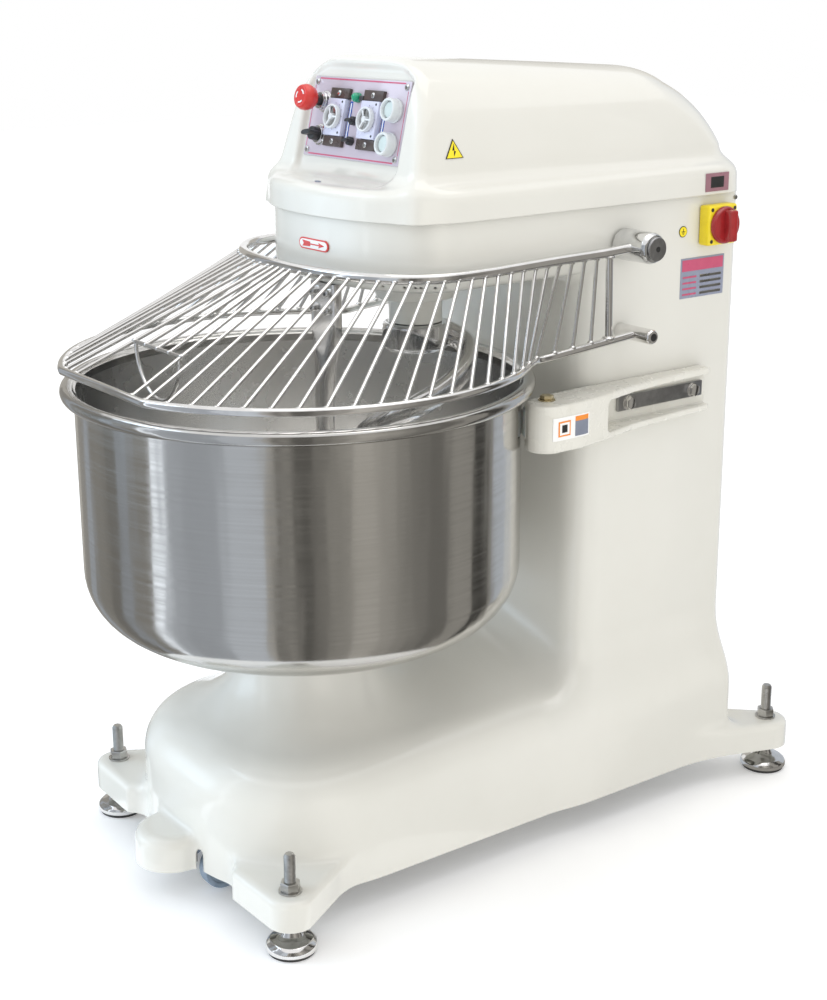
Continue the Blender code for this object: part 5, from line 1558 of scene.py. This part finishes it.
# ---------------------------------------------------------------- pieces kept from the CAD
def dress_inner_nodes():
    """The drives inside keep their CAD shapes, with worn-metal, paint and rubber finishes."""
    finishes = {
        "bowl_shaft": MACHINED, "bowl_bearing": MACHINED, "bowl_pulley": IRON, "bowl_motor": MOTOR,
        "bowl_motor_pulley": IRON, "bowl_belt": RUBBER, "spindle_shaft": MACHINED,
        "spindle_bearing_lower": MACHINED, "spindle_bearing_upper": MACHINED, "spindle_pulley": IRON,
        "spiral_motor": MOTOR, "spiral_motor_pulley": IRON, "spiral_belt": RUBBER,
        "electrical_box": CABINET,
    }
    for node, material in finishes.items():
        item = frame["nodes"][node]
        item.data.materials.clear()
        item.data.materials.append(material)


# ---------------------------------------------------------------- floor, light and camera
def glow(name, colour, strength):
    material = bpy.data.materials.new(name)
    material.use_nodes = True
    tree = material.node_tree
    tree.nodes.clear()
    light = tree.nodes.new("ShaderNodeEmission")
    light.inputs["Color"].default_value = (*colour, 1.0)
    light.inputs["Strength"].default_value = strength
    output = tree.nodes.new("ShaderNodeOutputMaterial")
    tree.links.new(light.outputs["Emission"], output.inputs["Surface"])
    return material


def card(name, start, end, colour, strength):
    """A reflector along the floor and up, seen only in gloss. Negative angles are on the left."""
    bm = bmesh.new()
    count = max(int(abs(end - start) / 4.0), 1)
    rows = []
    for i in range(count + 1):
        angle = math.radians(start + (end - start) * i / count) + CAMERA_BEARING
        row = []
        for distance, height in CARD_PROFILE:
            x = distance * math.cos(angle)
            y = BOWL_Y + distance * math.sin(angle)
            row.append(bm.verts.new((x, y, height)))
        rows.append(row)
    for first, second in zip(rows, rows[1:]):
        for k in range(len(CARD_PROFILE) - 1):
            bm.faces.new((first[k], second[k], second[k + 1], first[k + 1]))
    mesh = bpy.data.meshes.new(name)
    bm.to_mesh(mesh)
    bm.free()
    mesh.materials.append(glow(name, colour, strength))
    item = bpy.data.objects.new(name, mesh)
    item.visible_camera = False
    item.visible_diffuse = False
    item.visible_shadow = False
    item.visible_transmission = False
    bpy.context.scene.collection.objects.link(item)


def card_angle(reflection):
    """Where on the ring of cards a ray lands that leaves the bowl's wall in this direction."""
    normal = math.radians(reflection / 2.0)
    heading = math.radians(reflection)
    x = BOWL_WALL_RADIUS * math.cos(normal)
    y = BOWL_WALL_RADIUS * math.sin(normal)
    along = x * math.cos(heading) + y * math.sin(heading)
    run = -along + math.sqrt(along ** 2 - BOWL_WALL_RADIUS ** 2 + CARD_DISTANCE ** 2)
    return math.degrees(math.atan2(y + run * math.sin(heading), x + run * math.cos(heading)))


def floor():
    bm = bmesh.new()
    bmesh.ops.create_grid(bm, x_segments=1, y_segments=1, size=14.0)
    mesh = bpy.data.meshes.new("floor")
    bm.to_mesh(mesh)
    bm.free()
    mesh.materials.append(plain("floor", (0.95, 0.95, 0.95), (0.93, 0.93, 0.93), 0.7, 3.0, 0.02,
                                Emission_Color=(1.0, 1.0, 1.0, 1.0), Emission_Strength=0.16))
    item = bpy.data.objects.new("floor", mesh)
    bpy.context.scene.collection.objects.link(item)


def world():
    made = bpy.data.worlds.new("studio")
    bpy.context.scene.world = made
    made.use_nodes = True
    back_light = made.node_tree.nodes["Background"]
    back_light.inputs["Color"].default_value = (1.0, 1.0, 1.0, 1.0)
    back_light.inputs["Strength"].default_value = 1.0


def area(name, place, target, size, power, colour):
    data = bpy.data.lights.new(name, "AREA")
    data.shape = "RECTANGLE"
    data.size, data.size_y = size
    data.energy = power
    data.color = colour
    item = bpy.data.objects.new(name, data)
    item.location = place
    item.rotation_euler = (Vector(target) - Vector(place)).to_track_quat("-Z", "Y").to_euler()
    bpy.context.scene.collection.objects.link(item)


CARD_DISTANCE = 1.6
CARD_PROFILE = ((0.42, 0.004), (1.52, 0.004), (1.60, 0.08), (1.60, 1.90))
VIEWPOINT = Vector((2.1477, -1.6237, 1.3923))
CAMERA_BEARING = math.atan2(VIEWPOINT.y - BOWL_Y, VIEWPOINT.x)
WINDOW = (0.86, 0.92, 1.0)
WARM = (1.0, 0.96, 0.88)
# Bands of the ring of cards: name, first and last angle, colour, strength. An angle is that of the
# ray leaving the bowl's wall, counted from the viewpoint's bearing. The bands were set so that the
# wall reflects dark and pale stripes like the photograph's. They are lighting, not material.
CARDS = (
    ("left_rear", -178.0, -156.0, WARM, 0.50),
    ("left_rear_grey", -156.0, -144.0, WARM, 0.30),
    ("left_pale", -144.0, -134.0, WINDOW, 0.46),
    ("left_grey", -134.0, -118.0, WARM, 0.27),
    ("left_dark", -118.0, -104.0, WARM, 0.20),
    ("left_streak", -104.0, -94.0, WINDOW, 0.38),
    ("left_shade", -94.0, -81.0, WARM, 0.26),
    ("left_tube", -81.0, -75.0, WINDOW, 1.5),
    ("window_edge", -75.0, -60.0, WINDOW, 0.54),
    ("window", -60.0, -40.0, WINDOW, 0.48),
    ("window_bright", -40.0, -18.0, WINDOW, 0.68),
    ("window_frame", -18.0, -13.0, WARM, 0.44),
    ("streak_dark", -13.0, -9.0, WARM, 0.18),
    ("streak_pale", -9.0, -4.0, WARM, 0.30),
    ("middle_dark", -4.0, 6.0, WARM, 0.12),
    ("middle_shade", 6.0, 14.0, WARM, 0.20),
    ("wall_shade", 14.0, 24.0, WARM, 0.31),
    ("wall_pale", 24.0, 38.0, WARM, 0.47),
    ("wall", 38.0, 47.0, WARM, 0.36),
    ("wall_grey", 47.0, 56.0, WARM, 0.29),
    ("wall_far", 56.0, 66.0, WARM, 0.22),
    ("right_dark", 66.0, 78.0, WARM, 0.17),
    ("right_grey", 78.0, 98.0, WARM, 0.33),
    ("right_black", 98.0, 108.0, WARM, 0.05),
    ("right_frame", 108.0, 115.0, WARM, 0.30),
    ("right_window", 115.0, 150.0, WINDOW, 0.62),
    ("right_rear", 150.0, 178.0, WARM, 0.52),
)


def studio():
    floor()
    world()
    for name, start, end, colour, strength in CARDS:
        card(name, card_angle(start), card_angle(end), colour, strength)
    area("key", (-1.9, -3.2, 3.0), (0.0, 0.0, 0.7), (2.6, 2.6), 38.0, (0.58, 0.78, 1.0))
    area("low_fill", (-2.0, -2.6, 0.7), (0.0, -0.1, 0.3), (2.0, 1.2), 34.0, (0.64, 0.82, 1.0))
    area("side_fill", (2.6, -0.6, 0.8), (0.0, 0.1, 0.3), (1.4, 1.2), 7.0, (1.0, 0.95, 0.84))
    area("top", (0.3, 0.2, 3.3), (0.1, 0.0, 0.9), (2.0, 2.0), 16.0, (1.0, 0.98, 0.95))
    bpy.context.scene.view_settings.view_transform = "Standard"


def camera():
    """The photo's viewpoint: to the machine's right front, looking slightly down."""
    yaw = math.radians(55.057)
    pitch = math.radians(15.889)
    roll = math.radians(-0.725)
    ahead = Vector((-math.sin(yaw) * math.cos(pitch), math.cos(yaw) * math.cos(pitch), -math.sin(pitch)))
    right = Vector((math.cos(yaw), math.sin(yaw), 0.0))
    up = right.cross(ahead)
    across = right * math.cos(roll) + up * math.sin(roll)
    upward = up * math.cos(roll) - right * math.sin(roll)
    data = bpy.data.cameras.new("camera")
    data.lens = 59.92
    data.shift_x = 0.0514
    data.shift_y = -0.0419
    data.clip_start = 0.05
    data.clip_end = 60.0
    item = bpy.data.objects.new("camera", data)
    turn = Matrix((across, upward, -ahead)).transposed().to_4x4()
    item.matrix_world = Matrix.Translation(VIEWPOINT) @ turn
    bpy.context.scene.collection.objects.link(item)
    bpy.context.scene.camera = item


def main():
    frame_casting()
    wheel_carrier()
    rear_panel()
    top_cover()
    control_panel()
    bowl()
    spindle()
    spiral()
    breaker_bar()
    guard()
    guard_pivots()
    guide_arm()
    isolator()
    feet()
    wheels()
    labels()
    dress_inner_nodes()
    studio()
    camera()


main()
